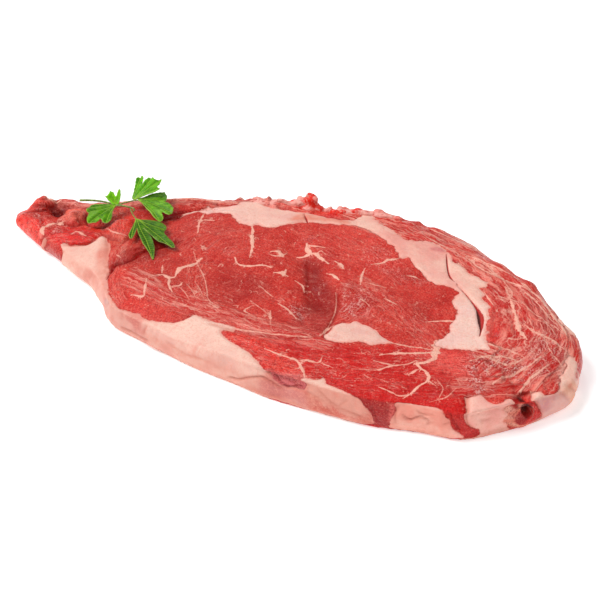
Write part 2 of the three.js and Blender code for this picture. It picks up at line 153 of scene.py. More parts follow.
# Lean meat on the cut face: its colour, how softly it starts, and where.
LEAN_PATCHES = [
    ("eye_front", (219, 64, 51), 4, [(-58, -17), (-55, -26), (-48, -35), (-40, -37.5), (-34, -38),
     (-36, -33), (-44, -28), (-52, -20), (-55, -14)]),
    ("eye_upper", (220, 80, 68), 5, [(8, 42), (26, 42), (40, 30), (50, 22), (38, 18), (22, 22), (10, 30)]),
    ("eye_left_dark", (184, 44, 35), 4, [(-20, 0), (-8, -2), (2, -8), (4, -16), (-4, -22), (-14, -24),
     (-20, -18)]),
    ("eye_right", (203, 58, 48), 4, [(46, 16), (58, 13), (67, 12), (72, -3), (71, -18), (60, -16),
     (48, -4)]),
    # painted shade in the valley's hollow
    ("valley", (152, 26, 18), 2.6, [(8, 18), (13, 15.5), (19, 6), (26, -3), (30, -13), (31, -23), (30, -32),
     (24, -33), (19.5, -24), (16, -8), (10.5, 6), (6.5, 14)]),
    ("valley_foot", (186, 62, 56), 2.5, [(20, -20), (30, -20), (30, -34), (20, -34)]),
    # painted shadow of the leaves, over meat that is darker there too
    ("under_leaves", (170, 40, 30), 2.5, [(-57, -13), (-52, -13), (-47, -8), (-41, 2), (-42, 12), (-48, 10),
     (-57, 2), (-60, -6)]),
    ("band", (206, 12, 8), 1.2, [(-2, -42), (10, -40.3), (20, -38.5), (31, -36), (40, -36.5), (50, -34),
     (56, -30), (64, -28.5), (72, -27), (86, -25), (90, -30), (88, -40), (88, -48), (91, -58), (88, -66),
     (60, -66), (20, -64), (14, -52), (4, -46)]),
    ("band_tip", (230, 60, 46), 3, [(0, -43), (6, -41.5), (14, -42), (22, -46), (29, -52), (30, -57),
     (21, -57), (14, -52), (6, -47)]),
    ("band_skin", (208, 122, 120), 1, [(20, -56.5), (26, -57), (34, -56), (35, -64), (20, -64)]),
    ("band_deep", (204, 2, 0), 3, [(73, -42), (87, -45), (90, -57), (80, -57), (72, -54)]),
    ("band_upper", (234, 100, 92), 3, [(62, -28), (72, -27), (86, -25), (90, -32), (84, -40), (74, -38),
     (66, -34)]),
    ("cap", (214, 70, 60), 1.2, [(24, 52), (34, 46.5), (41, 42), (52, 43), (58, 38), (66, 30), (77, 22),
     (76, 16), (80, 9), (83.5, 0), (85.5, -12), (88.5, -20), (90, -28), (89, -38), (91, -46), (103, -50),
     (132, -40), (132, 24), (64, 72), (20, 72)]),
    ("cap_streak_one", (182, 42, 40), 1.2, [(41, 52.5), (45, 52.3), (49, 49.6), (50, 47.4), (46, 47.4),
     (43, 49.6)]),
    ("cap_streak_two", (178, 38, 37), 1.2, [(50, 51), (54, 49), (57, 45.5), (56, 43.4), (52, 45),
     (50, 48)]),
    ("cap_red_one", (188, 40, 37), 1.3, [(93, 14.5), (97, 15.5), (102, 8), (104, 1.5), (99, 4), (95, 9)]),
    ("cap_red_two", (182, 28, 28), 0.9, [(95, 2), (103, 0.5), (110, -1.6), (109, -4), (100, -3.4),
     (95.5, -1)]),
    ("cap_red_three", (206, 50, 44), 1.5, [(85, 12), (90, 9), (91, 0), (88, -3), (85.5, 2)]),
    ("cap_red_four", (212, 46, 41), 1.5, [(88, -7), (94, -4), (98, -12), (95, -16), (90, -15),
     (86.5, -11.5)]),
    ("cap_red_five", (214, 34, 28), 1.2, [(86.2, -28.1), (88, -24.8), (93.2, -28.4), (97.6, -31.5),
     (94.9, -35.3), (90.6, -35)]),
    ("cap_red_six", (212, 32, 26), 0.8, [(103, -36), (106, -35), (109.3, -38), (109, -42), (105, -44),
     (104, -40)]),
    ("cap_end_cream", (240, 236, 220), 1.2, [(112.2, -9), (116.4, -11.4), (119.9, -20), (121.1, -27.8),
     (117, -33), (114.4, -29), (113.2, -18)]),
    ("cap_torn", (164, 8, 6), 0.8, [(102.6, -35.4), (104.6, -36), (105.6, -40), (105.6, -44), (103.6, -46),
     (102.6, -43), (103.4, -39)]),
    ("cap_red_seven", (208, 40, 36), 1, [(111, -30), (115, -29), (115.6, -33), (112, -34)]),
    ("cap_red_eight", (184, 38, 34), 1, [(78, 22), (81, 22), (88, 11), (87, 8), (84, 11), (80, 17)]),
    ("cap_red_nine", (200, 48, 42), 1, [(86, 22), (92, 22.4), (98, 18), (97, 15.5), (91, 18), (86, 19.6)]),
    ("cap_red_ten", (206, 52, 44), 1, [(61, 37), (66, 39), (72, 34.6), (72, 31), (66, 34)]),
    ("cap_red_eleven", (212, 62, 50), 1.2, [(72, 36), (78, 38), (82, 33), (80, 29.6), (75, 32)]),
    ("cap_red_twelve", (202, 50, 42), 1, [(70, 29), (76, 27), (83, 25.6), (84, 22), (78, 24), (72, 26)]),
    ("cap_red_thirteen", (186, 46, 42), 1.2, [(100, -8), (105, -9), (112, -15), (110, -19), (105, -15),
     (100, -12)]),
    ("cap_red_fourteen", (206, 60, 50), 1, [(115.6, -3), (118, -6), (119.6, -13), (118, -16),
     (116.4, -10)]),
    ("cap_rim_pink", (238, 190, 166), 1.4, [(96, 27), (100, 21), (104, 14), (109, 5), (113, -4), (116, -4),
     (114, 5), (108, 14), (102, 22), (98, 28)]),
    ("cap_seam_side", (236, 138, 124), 1.3, [(82.6, 5), (85, 3), (86.6, -6), (87.2, -15), (86, -16),
     (84.6, -8)]),
    ("cap_orange", (222, 96, 78), 2.5, [(62, 34), (70, 28), (78, 24.5), (88, 24), (84, 32), (74, 38),
     (66, 40)]),
    ("cap_skin", (206, 122, 118), 2, [(40, 64), (40, 56), (52, 50.5), (60, 46.5), (70, 41), (80, 34.5),
     (88, 36), (76, 48), (56, 62)]),
    ("tail_tip", (255, 44, 28), 2, [(-123, 20), (-116, 17), (-108, 14.5), (-102, 14), (-100, 10), (-101, 3),
     (-110, 5), (-123, 14)]),
    ("tail_lobe", (222, 6, 2), 1.5, [(-97, 8), (-92, 10.5), (-80, 8.5), (-75, 4.5), (-75.6, 1.4),
     (-82, -0.8), (-90, -4), (-97, 0), (-98.5, 5)]),
    ("tail_nub", (234, 92, 78), 1.3, [(-124, 21), (-117, 27), (-110, 32), (-103, 31), (-105, 25),
     (-110, 21), (-116, 19)]),
    ("tail_bundle_one", (238, 140, 118), 1.0, [(-99, 25), (-92, 26), (-88, 20), (-90, 14), (-95, 14),
     (-98, 19)]),
    ("tail_bundle_two", (234, 64, 48), 1.3, [(-86, 20), (-78, 22), (-74, 14), (-76, 8), (-82, 9),
     (-86, 14)]),
    ("tail_bundle_three", (234, 76, 58), 1.3, [(-76, 24), (-70, 25), (-64, 19), (-63, 10), (-68, 6),
     (-74, 9), (-76, 15)]),
    ("tail_amber", (226, 122, 98), 1.5, [(-73, 8), (-66, 9), (-62, 6), (-64, 1), (-68, 2), (-71, 6)]),
    # painted shadow of the stalk
    ("under_stalk", (192, 34, 26), 1.5, [(-72, 30), (-66, 35), (-61, 31), (-62, 25), (-68, 25)]),
    ("strand", (252, 178, 158), 1.2, [(-116, 30.5), (-96, 27), (-80, 31), (-66, 37), (-56, 40), (-48, 43),
     (-40, 45), (-36, 47), (-36, 56), (-60, 52), (-90, 40), (-116, 36)]),
    ("strand_right", (238, 196, 186), 1.2, [(-40, 47.4), (-33, 46.8), (-26, 49.6), (-14, 48), (-10, 49.4),
     (-10, 58), (-26, 60), (-44, 54)]),
    ("strand_grey", (238, 206, 200), 1, [(-58, 42.5), (-50, 44), (-38, 47), (-36, 52), (-58, 47)]),
    # painted shade: the tail's small hollow is painted near black
    ("tail_hole", (104, 0, 0), 0.8, [(-106.2, 25), (-104.4, 21.6), (-101.6, 21), (-99.6, 22.6),
     (-99.6, 25.6), (-103, 26.6)]),
    ("tail_rolled", (240, 178, 166), 0.9, [(-108.6, 24.6), (-106, 26.4), (-99, 27.2), (-90, 28),
     (-80, 31.4), (-80, 36), (-100, 33), (-109, 28)]),
    ("back_block", (168, 30, 30), 1, [(-56.5, 35), (-51, 36), (-49.5, 31), (-51, 25), (-55.5, 24)]),
    ("shreds", (226, 92, 77), 1.2, [(-17, 50.5), (-5, 49.3), (8, 49.3), (17, 50.3), (18, 68), (-18, 68)]),
    ("shred_bright", (222, 30, 20), 0.8, [(5, 50), (9, 50), (9, 57), (5, 58)]),
]

# Lean meat on the cut edge, by distance round the rim and height.
EDGE_LEAN_PATCHES = [
    ("tail", (246, 70, 54), 2, [(-6, -3), (-6, 20), (29, 20), (29, -3)]),
    ("tail_block", (206, 70, 62), 1, [(29, -3), (29, 20), (46, 20), (44, -3)]),
    ("tail_block_foot", (196, 96, 96), 1.5, [(29, -3), (29, 4.5), (44, 4), (44, -3)]),
    ("skin", (206, 134, 140), 1, [(163, 20), (163.5, 13), (168, 6), (181, 6), (181, 20)]),
    ("band_one", (166, 48, 49), 0.8, [(201, -3), (201, 20), (213.5, 20), (213.5, -3)]),
    ("band_one_strip", (206, 116, 110), 0.5, [(210, 3.4), (210.2, 8), (210.4, 11.4), (211.8, 11.4),
     (212, 3.4)]),
    ("band_two", (196, 38, 34), 0.8, [(226, -3), (226, 20), (245, 20), (244, -3)]),
    ("pink_web", (238, 196, 166), 0.8, [(249, -3), (249, 20), (262, 20), (262, -3)]),
    ("web_pale_one", (238, 230, 206), 0.45, [(250.2, 9.2), (253, 10.8), (256.4, 10.6), (257, 9.4),
     (254, 8.6), (251, 8)]),
    ("web_pale_two", (238, 226, 200), 0.4, [(250.6, 7), (253, 7.3), (255.8, 6.6), (256.2, 5.5), (253, 5.7),
     (250.8, 5.7)]),
    ("web_pale_three", (238, 220, 190), 0.4, [(251.4, 3.8), (255, 3.6), (258.6, 2.6), (258.4, 1.8),
     (254, 2.3), (251.4, 2.6)]),
    ("web_red", (170, 14, 14), 0.7, [(249.5, 16), (252, 12), (254.6, 9), (256, 9.6), (254, 14),
     (252.5, 18)]),
    ("pocket_block", (206, 22, 14), 0.7, [(257.6, 12.8), (261, 12.4), (263.8, 8), (265, 4.4), (264, 2),
     (260, 1.8), (259.6, 5)]),
    ("web_low", (196, 50, 36), 0.7, [(251.6, 3.2), (254, 1.6), (258, 0.6), (257, -2), (251, -2)]),
    # painted shade: the open hole in the cut edge is painted near black
    ("pocket", (52, 0, 0), 0.4, [(256.9, 10), (259, 10.4), (261.2, 7.6), (261, 4.8), (259, 4.6),
     (257, 7.2)]),
    ("end_red", (232, 54, 42), 2, [(289, -3), (289, 20), (312, 20), (312, -3)]),
]

# Fat on the cut face: the shades it takes.
FAT_PATCHES = [
    ("seam_top", (246, 174, 160), 4, [(22, 56), (43, 43), (52, 43), (58, 38), (60, 33), (52, 27), (43, 28),
     (30, 40)]),
    ("seam_middle", (246, 182, 168), 4, [(56, 28), (66, 24), (72, 12), (70, 2), (62, 12), (54, 18)]),
    ("seam_foot", (252, 212, 199), 4, [(70, 4), (84, 4), (89, -21), (70, -24)]),
    ("mauve_spot", (222, 132, 130), 1, [(51, 38.4), (53.5, 40), (56.6, 38.6), (57.4, 37), (54, 36.8),
     (52, 37)]),
    ("island", (249, 198, 184), 1, [(30, -18), (58, -18), (58, -38), (30, -38)]),
    ("band_left", (254, 208, 196), 4, [(-52, 26), (-30, 34), (-30, 45), (-38, 46), (-52, 38)]),
    ("band_middle", (252, 200, 186), 3, [(-31, 34), (-24, 30), (-12, 33), (-6, 40), (-8, 49), (-24, 52),
     (-31, 48)]),
    ("band_right", (240, 148, 126), 1.6, [(-7, 39), (0, 42.2), (8, 44), (16, 45), (15, 47.4), (2, 47.4),
     (-5, 46.6)]),
    ("left_edge", (238, 150, 134), 3, [(-62, -22), (-59, -17), (-54, -28), (-46, -36), (-34, -38.4),
     (-34, -44), (-48, -40), (-58, -30)]),
    ("left_cream", (252, 208, 190), 4, [(-26, -41), (-16, -36), (0, -38), (10, -49), (18, -56), (0, -52),
     (-20, -47)]),
    ("tail_side", (232, 146, 128), 1.5, [(-72, 6), (-67, 1), (-63, -9), (-59, -18), (-62, -22), (-67, -12),
     (-71, -2)]),
    ("flap", (255, 190, 176), 1, [(86, -46), (104, -42), (104, -70), (86, -70)]),
]

# Fat on the cut edge: the shades it takes.
EDGE_FAT_PATCHES = [
    ("tail_cream", (243, 185, 166), 4, [(42, -2), (42, 20), (60, 20), (66, -2)]),
    ("tail_pink", (230, 154, 137), 5, [(62, -2), (60, 20), (80, 20), (82, -2)]),
    ("bruise", (218, 130, 118), 4, [(82, -2), (84, 20), (110, 20), (112, -2)]),
    ("bruise_blue", (199, 146, 143), 1.5, [(84, 8), (87, 10), (90, 7.5), (87, 6.5)]),
    ("long_cream", (234, 163, 145), 4, [(114, -2), (112, 20), (158, 20), (158, -2)]),
    ("long_crest", (243, 190, 174), 2, [(108, 8.5), (112, 20), (165, 20), (162, 9), (140, 8)]),
    ("low_pink", (219, 131, 122), 3, [(162, -2), (164, 8), (182, 8), (182, -2)]),
    ("third", (216, 106, 86), 2, [(183, -2), (183, 20), (206, 20), (206, -2)]),
    ("fourth", (248, 162, 142), 2, [(210, -2), (210, 20), (238, 20), (238, -2)]),
    ("flap", (255, 178, 164), 1.5, [(234, -2), (234, 20), (252, 20), (252, -2)]),
    ("silver", (226, 154, 152), 1.0, [(260, -2), (258, 20), (266, 20), (271, 12.6), (276.6, 6), (279, -2)]),
    ("end_cream", (255, 200, 186), 1.2, [(283, -2), (280, 7), (271, 12.6), (267, 20), (306, 20),
     (306, -2)]),
    ("end_orange", (248, 168, 130), 1.0, [(279, -2), (277, 6), (274, 11), (279, 12), (284, 6), (286, -2)]),
    ("back_pink", (225, 144, 130), 3, [(310, -2), (310, 20), (581, 20), (581, -2)]),
]

# Veins of fat in the lean: half a vein's width at its widest, and its path on the cut face.
VEINS = [
    ((1.5, 1.1, 0.85, 0.6, 0.55, 0.6, 0.65, 0.55, 0.42, 0.32, 0.2), [(71, -23), (72, -28), (72.5, -33),
     (70, -36), (68, -38), (70, -40), (73, -42), (74, -45), (72, -49), (71, -52), (69, -56)]),
    (0.45, [(75, -7), (69, -8.5), (64, -11)]),
    (0.5, [(71, -28.5), (65, -32), (60, -34), (55, -37)]),
    (0.35, [(67, -36), (65, -39), (62, -41), (59, -43), (57, -45), (54, -46.5), (51, -47)]),
    (0.3, [(54, -41), (58, -41.5), (61, -41.5)]),
    (0.35, [(70, -40), (67, -44)]),
    (0.35, [(60, -54), (64, -55), (67, -56), (71, -53)]),
    (0.4, [(55, -28), (60, -28.5), (65, -28), (71, -27)]),
    (0.4, [(16, -46.5), (20, -47.5), (25, -48.5), (28, -49), (30, -51), (33, -55), (35, -59.5)]),
    (0.35, [(28, -49), (33, -48), (36, -48), (36, -45)]),
    (0.25, [(37, -48), (41, -49)]),
    (0.18, [(77, -44), (80, -48), (80, -53)]),
    (0.3, [(74, -45), (77, -47)]),
    (0.15, [(78, -55), (82, -52), (84, -47)]),
    (0.75, [(-29, 1), (-29.5, -3), (-31, -6), (-33.5, -9.5), (-33, -12), (-32.5, -15.5)]),
    (0.6, [(-32.5, -15.5), (-34.5, -16.5), (-37, -16), (-40, -17.5)]),
    (0.5, [(-34, -16.5), (-33, -20), (-30, -24)]),
    (0.4, [(-31, -21), (-28.6, -20), (-28.6, -18)]),
    (0.3, [(-40, -10), (-38, -15)]),
    (0.45, [(-41.5, -21), (-40.5, -24), (-39.5, -27), (-38.7, -30), (-43, -30.2)]),
    (0.62, [(-20, 31), (-18, 27), (-15.5, 20), (-13.5, 15), (-12, 9)]),
    (0.35, [(-41.5, 35), (-41, 30), (-40, 25), (-38, 19)]),
    (0.5, [(-41, 27), (-39, 28.5), (-36, 29)]),
    (0.5, [(-17, 6), (-15, 3), (-13, 2), (-10, 2.5), (-7, 4), (-5, 5), (-2, 4.5)]),
    (0.7, [(-5, 15), (-3, 16), (-1, 14)]),
    (0.4, [(-4.5, 12.5), (-2, 13), (0, 16.5)]),
    (0.8, [(5, 26), (6, 23), (8, 20.5), (7, 18), (5, 17)]),
    (0.7, [(8, 20.5), (11, 20), (13, 18), (17, 15.5)]),
    (0.4, [(5, 26), (8, 25), (12, 25)]),
    (0.35, [(11, 20), (12, 22.5), (14, 21)]),
    (0.5, [(43, 28.4), (40, 25.5), (38, 24.5), (37, 22), (34, 19.5)]),
    (0.9, [(1.5, 1.5), (4, 2), (5.5, 1.5)]),
    (0.6, [(4, 5), (4.4, 3), (4.5, 1)]),
    (0.55, [(20, 17), (23, 15), (24, 13.5)]),
    (0.45, [(32, 15), (32.5, 10), (34, 4)]),
    (0.6, [(20, 8), (22, 7.4), (24.5, 5.6)]),
    (0.35, [(36, 5.5), (40, 4.5), (43, 4.5)]),
    (0.4, [(10, 0), (13, -1.5), (15, -5)]),
    (0.35, [(48, 16), (50.5, 16.6), (53, 16)]),
    (0.35, [(38, -7), (41, -9)]),
    (0.4, [(46, -3.5), (50, -5)]),
    (0.4, [(10, -18), (15, -21), (19, -25)]),
    (0.35, [(1, -23), (0, -27), (2, -28)]),
    (0.35, [(-14, -27), (-10, -29)]),
    (0.35, [(9, -24), (10, -27), (11.5, -30)]),
    (0.3, [(2, -32), (5, -31)]),
    (0.16, [(27, -4), (29.6, -12), (31, -20), (32, -29)]),
    (0.35, [(33, -24.5), (31.8, -28), (31.6, -33)]),
    (0.3, [(-15.8, -35.4), (-10, -37), (-5, -37.7), (5, -38.6), (12, -38), (18, -37), (25, -36),
     (31, -34)]),
    (0.2, [(-33.6, 4.6), (-28.4, -3.4), (-22.5, -11), (-18.2, -18.6), (-15, -24.4), (-8.5, -28.4)]),
    (0.15, [(-28, -20.8), (-24.6, -23.4), (-21.4, -27)]),
    (0.15, [(-26.2, -18.2), (-22.4, -21.6), (-19.6, -25.4)]),
    (0.15, [(-24.4, -15.3), (-20.6, -19.2), (-17.4, -23.8)]),
    (0.2, [(0, -10), (4, -13), (6.5, -14.5)]),
    (0.2, [(0, -20), (6, -24), (10, -28), (13, -34)]),
    ((0.3, 0.7, 0.5, 0.8, 0.9, 0.3), [(89, 11.8), (91, 7.4), (92.8, 3), (94.6, -1.8), (97.2, -7.6),
     (99.6, -10.4)]),
    (0.4, [(85, 20), (87.4, 15.6), (89.5, 11)]),
    (0.5, [(86, -25.6), (90, -24.6), (96, -23), (100, -23.6)]),
    (0.45, [(108, -36.6), (110.6, -37.8), (109.4, -40.6)]),
    (0.3, [(102, 2.6), (106, 1.6), (111, -1.4)]),
    (0.3, [(78, 16), (80.4, 12), (83, 8.6)]),
    (0.3, [(74, 34), (80, 27.6), (86, 25)]),
    (0.45, [(100, -4), (103, -6.5), (108, -8), (113, -10)]),
    (0.35, [(93, -13.4), (96, -12.5), (99, -11)]),
    ((0.15, 0.3, 0.5, 0.45, 0.2), [(84.4, -29.2), (89.1, -25.4), (94.4, -26.6), (98.4, -25.8),
     (100.5, -22.9)]),
    ((0.2, 0.35, 0.4, 0.3, 0.2), [(95.2, -38.3), (98.5, -31.9), (101.7, -27.3), (104.4, -24.6),
     (106.6, -18.7)]),
    ((0.5, 0.4, 0.3, 0.15), [(104.3, -37), (105.9, -31), (107.6, -28.1), (110, -21.7)]),
    ((0.2, 0.45, 0.7, 0.6, 0.3), [(90.6, 24.6), (97, 19.4), (104.9, 9.6), (109, 4.4), (112, -1)]),
    ((0.1, 0.22, 0.16, 0.24, 0.1), [(92.4, 13), (97, 8), (100.4, 5.2), (105.2, 0.3), (109.1, -4.3)]),
    ((0.1, 0.26, 0.14, 0.22, 0.3), [(96.4, -1.2), (100.7, -5.4), (105.6, -8.6), (109.9, -14.9),
     (114, -18.6)]),
    (0.3, [(82, 26), (85, 22), (88, 18), (89, 12)]),
    (0.35, [(66, 36), (72, 31), (79, 27), (88, 24), (96, 20)]),
    (0.3, [(64, 38), (72, 35), (80, 31.5), (88, 28)]),
    (0.35, [(48, 46), (56, 41.5), (62, 38)]),
    (0.35, [(42, 56), (52, 52), (62, 47), (72, 40)]),
    (0.3, [(84, 14), (88, 13), (94, 11)]),
    (0.35, [(98, 14), (103, 8), (108, 3)]),
    (0.3, [(92, 20), (98, 15)]),
    (0.35, [(86, -16), (90, -18), (95, -19), (101, -21)]),
    ((0.3, 0.5, 0.7, 0.85, 0.8, 0.7), [(-94.6, 12.6), (-97.7, 12), (-99.8, 10.4), (-100.9, 8),
     (-100.6, 5.6), (-98.6, 2.4)]),
    (0.35, [(-86, 4.4), (-84, 5.2), (-80, 4.4)]),
    (0.3, [(-75, 12), (-70, 9), (-64, 8)]),
    (0.35, [(-60, -7.6), (-58.6, -8.6)]),
    (0.4, [(-110, 26), (-106, 27), (-103, 29)]),
    (0.3, [(58, 52), (66, 46), (72, 42)]),
    (0.3, [(-66, 38.6), (-54, 42), (-44, 45), (-34, 47.6)]),
    (0.22, [(-60, 42.8), (-48, 46), (-36, 49.4)]),
]

# Threads the grain follows: a path, how far to each side it rules, and how stringy the meat is there.
GRAIN_GUIDES = [
    ([(-46, -21), (-30, -27), (-10, -31), (10, -35), (32, -37)], 9, 0.8),
    ([(0, -44), (20, -47), (40, -48), (60, -45), (84, -40)], 16, 0.46),
    ([(24, 56), (45, 52), (62, 44), (78, 33), (92, 20), (101, 4), (104, -14), (100, -26)], 20, 1.0),
    ([(88, -22), (96, -24), (101, -29), (100, -36), (94, -41), (87, -44)], 8, 1.0),
    ([(108, 12), (116, -2), (118, -16), (114, -30)], 6, 1.0),
    ([(-122, 20), (-108, 12), (-98, 6), (-88, 3.5), (-75, 3)], 6, 0.5),
    ([(-104, 14), (-96, 9), (-84, 7), (-76, 5)], 4, 0.5),
    ([(-80, 28), (-76, 20), (-71, 12), (-68, 5)], 7, 0.5),
    ([(-95, 8), (-95, 14), (-91, 20), (-86, 19), (-85, 12)], 4, 0.45),
    ([(-114, 29), (-95, 31), (-70, 38), (-50, 43.5), (-34, 47.6), (-20, 51), (-6, 52)], 6, 0.9),
    ([(34, 4), (50, -6), (68, -20)], 9, 0.55),
    ([(-30, 0), (-24, -16), (-17, -29)], 6, 0.5),
    ([(-62, 2), (-60, -8), (-56, -22), (-48, -32)], 5, 0.6),
]

# Seams and creases sunk in the cut face: a path, depth and half width.
# The depth of each also sets the painted shade in it.
SEAMS = [
    ([(-58.4, -19), (-58.4, -14), (-55, -11.2), (-53, -7.5), (-52, -1.6), (-47, 4.6), (-41, 12)], 0.8, 1.5),
    ([(-56, -3), (-54.6, 0), (-51.6, 2.4)], 0.8, 0.7),
    ([(-66, 40.4), (-57, 43.4), (-47, 46.4), (-38, 49)], 1.0, 0.5),
    ([(-66, 36.8), (-56, 40), (-46, 43), (-38, 45)], 0.9, 0.5),
    ([(32, -33), (24, -37.2), (12, -39.4), (0, -39.4), (-10, -38.6)], 0.7, 0.6),
    ([(27, -3), (30.2, -12), (31.8, -22), (32.4, -32)], 1.0, 0.8),
    ([(9, 17), (12, 8), (15, 0), (17, -8)], 0.7, 0.7),
    ([(16, -14), (20, -22), (24, -30)], 0.5, 1.0),
    ([(-88.6, 24), (-86, 18), (-83.4, 14.4), (-79, 11.4), (-75.6, 12)], 1.0, 0.7),
    ([(-80, 20), (-77, 14), (-74, 9.5)], 0.5, 0.9),
    ([(-99, 13.4), (-94.5, 11.8), (-89, 11.8), (-86, 14.4), (-83.6, 17.8)], 1.4, 0.6),
    ([(-96, 9.4), (-89.6, 8.1), (-82.5, 6.4), (-76.6, 6.2)], 1.2, 0.55),
    ([(-96, 3.8), (-90.6, 5.2), (-84.4, 4.2), (-77, 4.6)], 0.9, 0.5),
    ([(-98.6, 1), (-96.6, 4.4), (-94, 7)], 0.5, 0.6),
    ([(-115, 18.4), (-110.4, 19.2), (-107.4, 20.4), (-105.6, 23)], 1.3, 0.6),
    ([(-106.6, 16.6), (-103.6, 13), (-101.6, 9)], 0.7, 0.7),
    ([(-106, 30.5), (-104.6, 27), (-106.6, 23.4), (-110, 21.4), (-114, 22)], 1.2, 0.7),
    ([(-110.5, 28.5), (-107.8, 26.4), (-109.4, 24.4), (-112.4, 25)], 0.7, 0.6),
    ([(-105, 27.4), (-99, 26.4), (-92, 26.6), (-80, 30), (-66, 35.6), (-56, 39)], 1.2, 0.6),
    ([(-74, 8), (-69, 5.6), (-63.4, 4)], 0.9, 0.8),
    ([(-67, 21), (-63.6, 15), (-62, 8), (-63.5, 1)], 0.8, 0.9),
    ([(-88.6, -0.6), (-82, -1), (-76.6, 0.8), (-74.6, 5)], 0.8, 0.7),
    ([(-71, 5), (-67.4, -1), (-63.8, -10), (-60, -18)], 0.5, 0.8),
    ([(88.4, -47), (89.5, -52), (91.5, -58)], 1.0, 0.7),
    ([(88, 24), (80, 27), (72, 31), (66, 36)], 0.6, 0.7),
    ([(88, -26), (94, -29), (98, -33), (97, -38), (91, -41)], 0.7, 0.8),
    ([(94, 14), (98.5, 8), (102, 2)], 0.6, 0.8),
    ([(88, 12), (91, 3), (94, -5), (97, -11)], 0.5, 0.8),
    ([(60, 33.5), (68, 29), (75, 24.5)], 0.6, 0.6),
    ([(84.6, 6), (86, -4), (87.6, -14)], 0.6, 0.7),
    ([(-51, 25), (-49.4, 31), (-45, 36.6), (-38, 40.5)], 0.8, 0.8),
    ([(-42, 43.6), (-30, 47)], 0.6, 0.7),
    ([(17, 50), (6, 49.2), (-8, 49.4), (-18, 50.4)], 0.8, 0.7),
]

# Creases sunk in the cut edge, by distance round the rim and height: a path, depth and half width.
# The depth of each also sets the painted shade in it.
EDGE_SEAMS = [
    ([(27.2, 3), (27.4, 8), (29, 12.5), (33, 16)], 0.8, 0.6),
    ([(30.6, 3), (30.4, 8), (32.4, 12)], 0.6, 0.5),
    ([(43.2, 3), (43.4, 9), (48, 13)], 0.7, 0.6),
    ([(58, 3.5), (66, 8), (74, 12)], 0.35, 0.9),
    ([(84, 5), (87.5, 8.5), (90, 12)], 0.5, 0.8),
    ([(109.6, 4.5), (110.2, 9), (111, 13)], 0.7, 0.6),
    ([(96, 3.4), (104, 3.2), (113.5, 4.2)], 0.8, 0.6),
    ([(147, 2.4), (153, 4.2), (158, 6.8), (163, 8.4), (168, 6.9), (172, 5.4)], 0.9, 0.5),
    ([(163.4, 12.6), (164.6, 11.2), (166.4, 10.6)], 1.0, 0.5),
    ([(166.4, 13), (168, 10.2), (172.8, 7.6), (177, 9.4), (180.6, 10)], 0.8, 0.45),
    ([(174, 8), (181, 8.2), (189, 6.6)], 0.5, 0.5),
    ([(180.4, 9), (180.2, 14)], 0.4, 0.4),
    ([(191, 3), (193, 7), (196, 10)], 0.35, 0.5),
    ([(203.6, 10.6), (205.4, 6.4), (206.6, 3)], 0.7, 0.5),
    ([(212.6, 3), (212.4, 8), (213.4, 12)], 0.7, 0.5),
    ([(222, 4), (224, 6.4), (226.4, 7.2)], 0.6, 0.4),
    ([(227.4, 6), (230.6, 7.8), (232.4, 8)], 0.5, 0.4),
    ([(229.4, 13), (232, 8.4), (235, 3.8)], 0.8, 0.5),
    ([(236.2, 13), (237, 7.4), (241, 3.6)], 0.9, 0.5),
    ([(240, 8.6), (244, 7.4), (247, 8.4)], 0.4, 0.5),
    ([(214, 8.6), (217, 6.4), (220.6, 8.2), (225, 6.6)], 0.9, 0.35),
    ([(218, 11), (221, 9.4), (226, 9.8)], 0.6, 0.35),
    ([(184, 11), (189, 7.6), (196, 5.4), (202, 4.6)], 0.6, 0.5),
    ([(120, 7.4), (131, 6), (142, 7.2)], 0.45, 0.5),
    ([(252, 16), (254, 12.4), (256.4, 10)], 1.4, 0.7),
    ([(260, 13), (263, 9.6), (265, 4.4)], 1.0, 0.5),
    ([(268, 14), (273, 10), (277.4, 4)], 0.5, 0.6),
    ([(276, 12), (281, 7), (285, 2)], 0.5, 0.7),
]

# Cuts that gape: a path on the cut face, half the gap's width along it, and how deep it is.
# The gaps' colour is painted shade: near black on one side, deep red on the other.
CUTS = [
    ([(58.3, 35.4), (59.3, 32.4), (60.4, 28.8), (62, 24.4), (64, 20.4), (65.8, 18.4)],
     (0.15, 0.3, 0.34, 0.34, 0.4, 0.1), 0.5),
    ([(67.6, 16.6), (70.6, 13.6), (73.6, 10), (76.6, 6.4), (79, 3), (80.9, -0.8), (82.3, -5.4),
     (83.3, -9.4), (83.9, -13.6)], (0.12, 0.3, 0.34, 0.46, 0.75, 1.3, 1.05, 0.42, 0.2), 1.6),
    ([(-58.4, -20.5), (-58.9, -17), (-58.6, -14.4), (-57.1, -12.7), (-55.1, -11.6), (-53.5, -10),
     (-52.9, -7.6), (-53.1, -4.6), (-52, -1.6), (-49, 1.6), (-45, 7), (-41, 12), (-39, 14)],
     (0.1, 0.35, 0.5, 0.6, 0.5, 0.42, 0.4, 0.34, 0.28, 0.22, 0.18, 0.12, 0.06), 1.2),
    ([(-56, 31), (-53, 33.4), (-49.4, 36.6), (-45.4, 39.4), (-40, 41.6)], (0.3, 0.8, 0.7, 0.4, 0.15), 1.6),
    ([(-54.6, 24.6), (-51.4, 26.6), (-50.2, 30.4)], (0.2, 0.6, 0.2), 1.2),
    ([(-3.4, 46.2), (-1.9, 43.8), (-0.4, 41.4)], (0.15, 0.4, 0.3), 0.8),
]

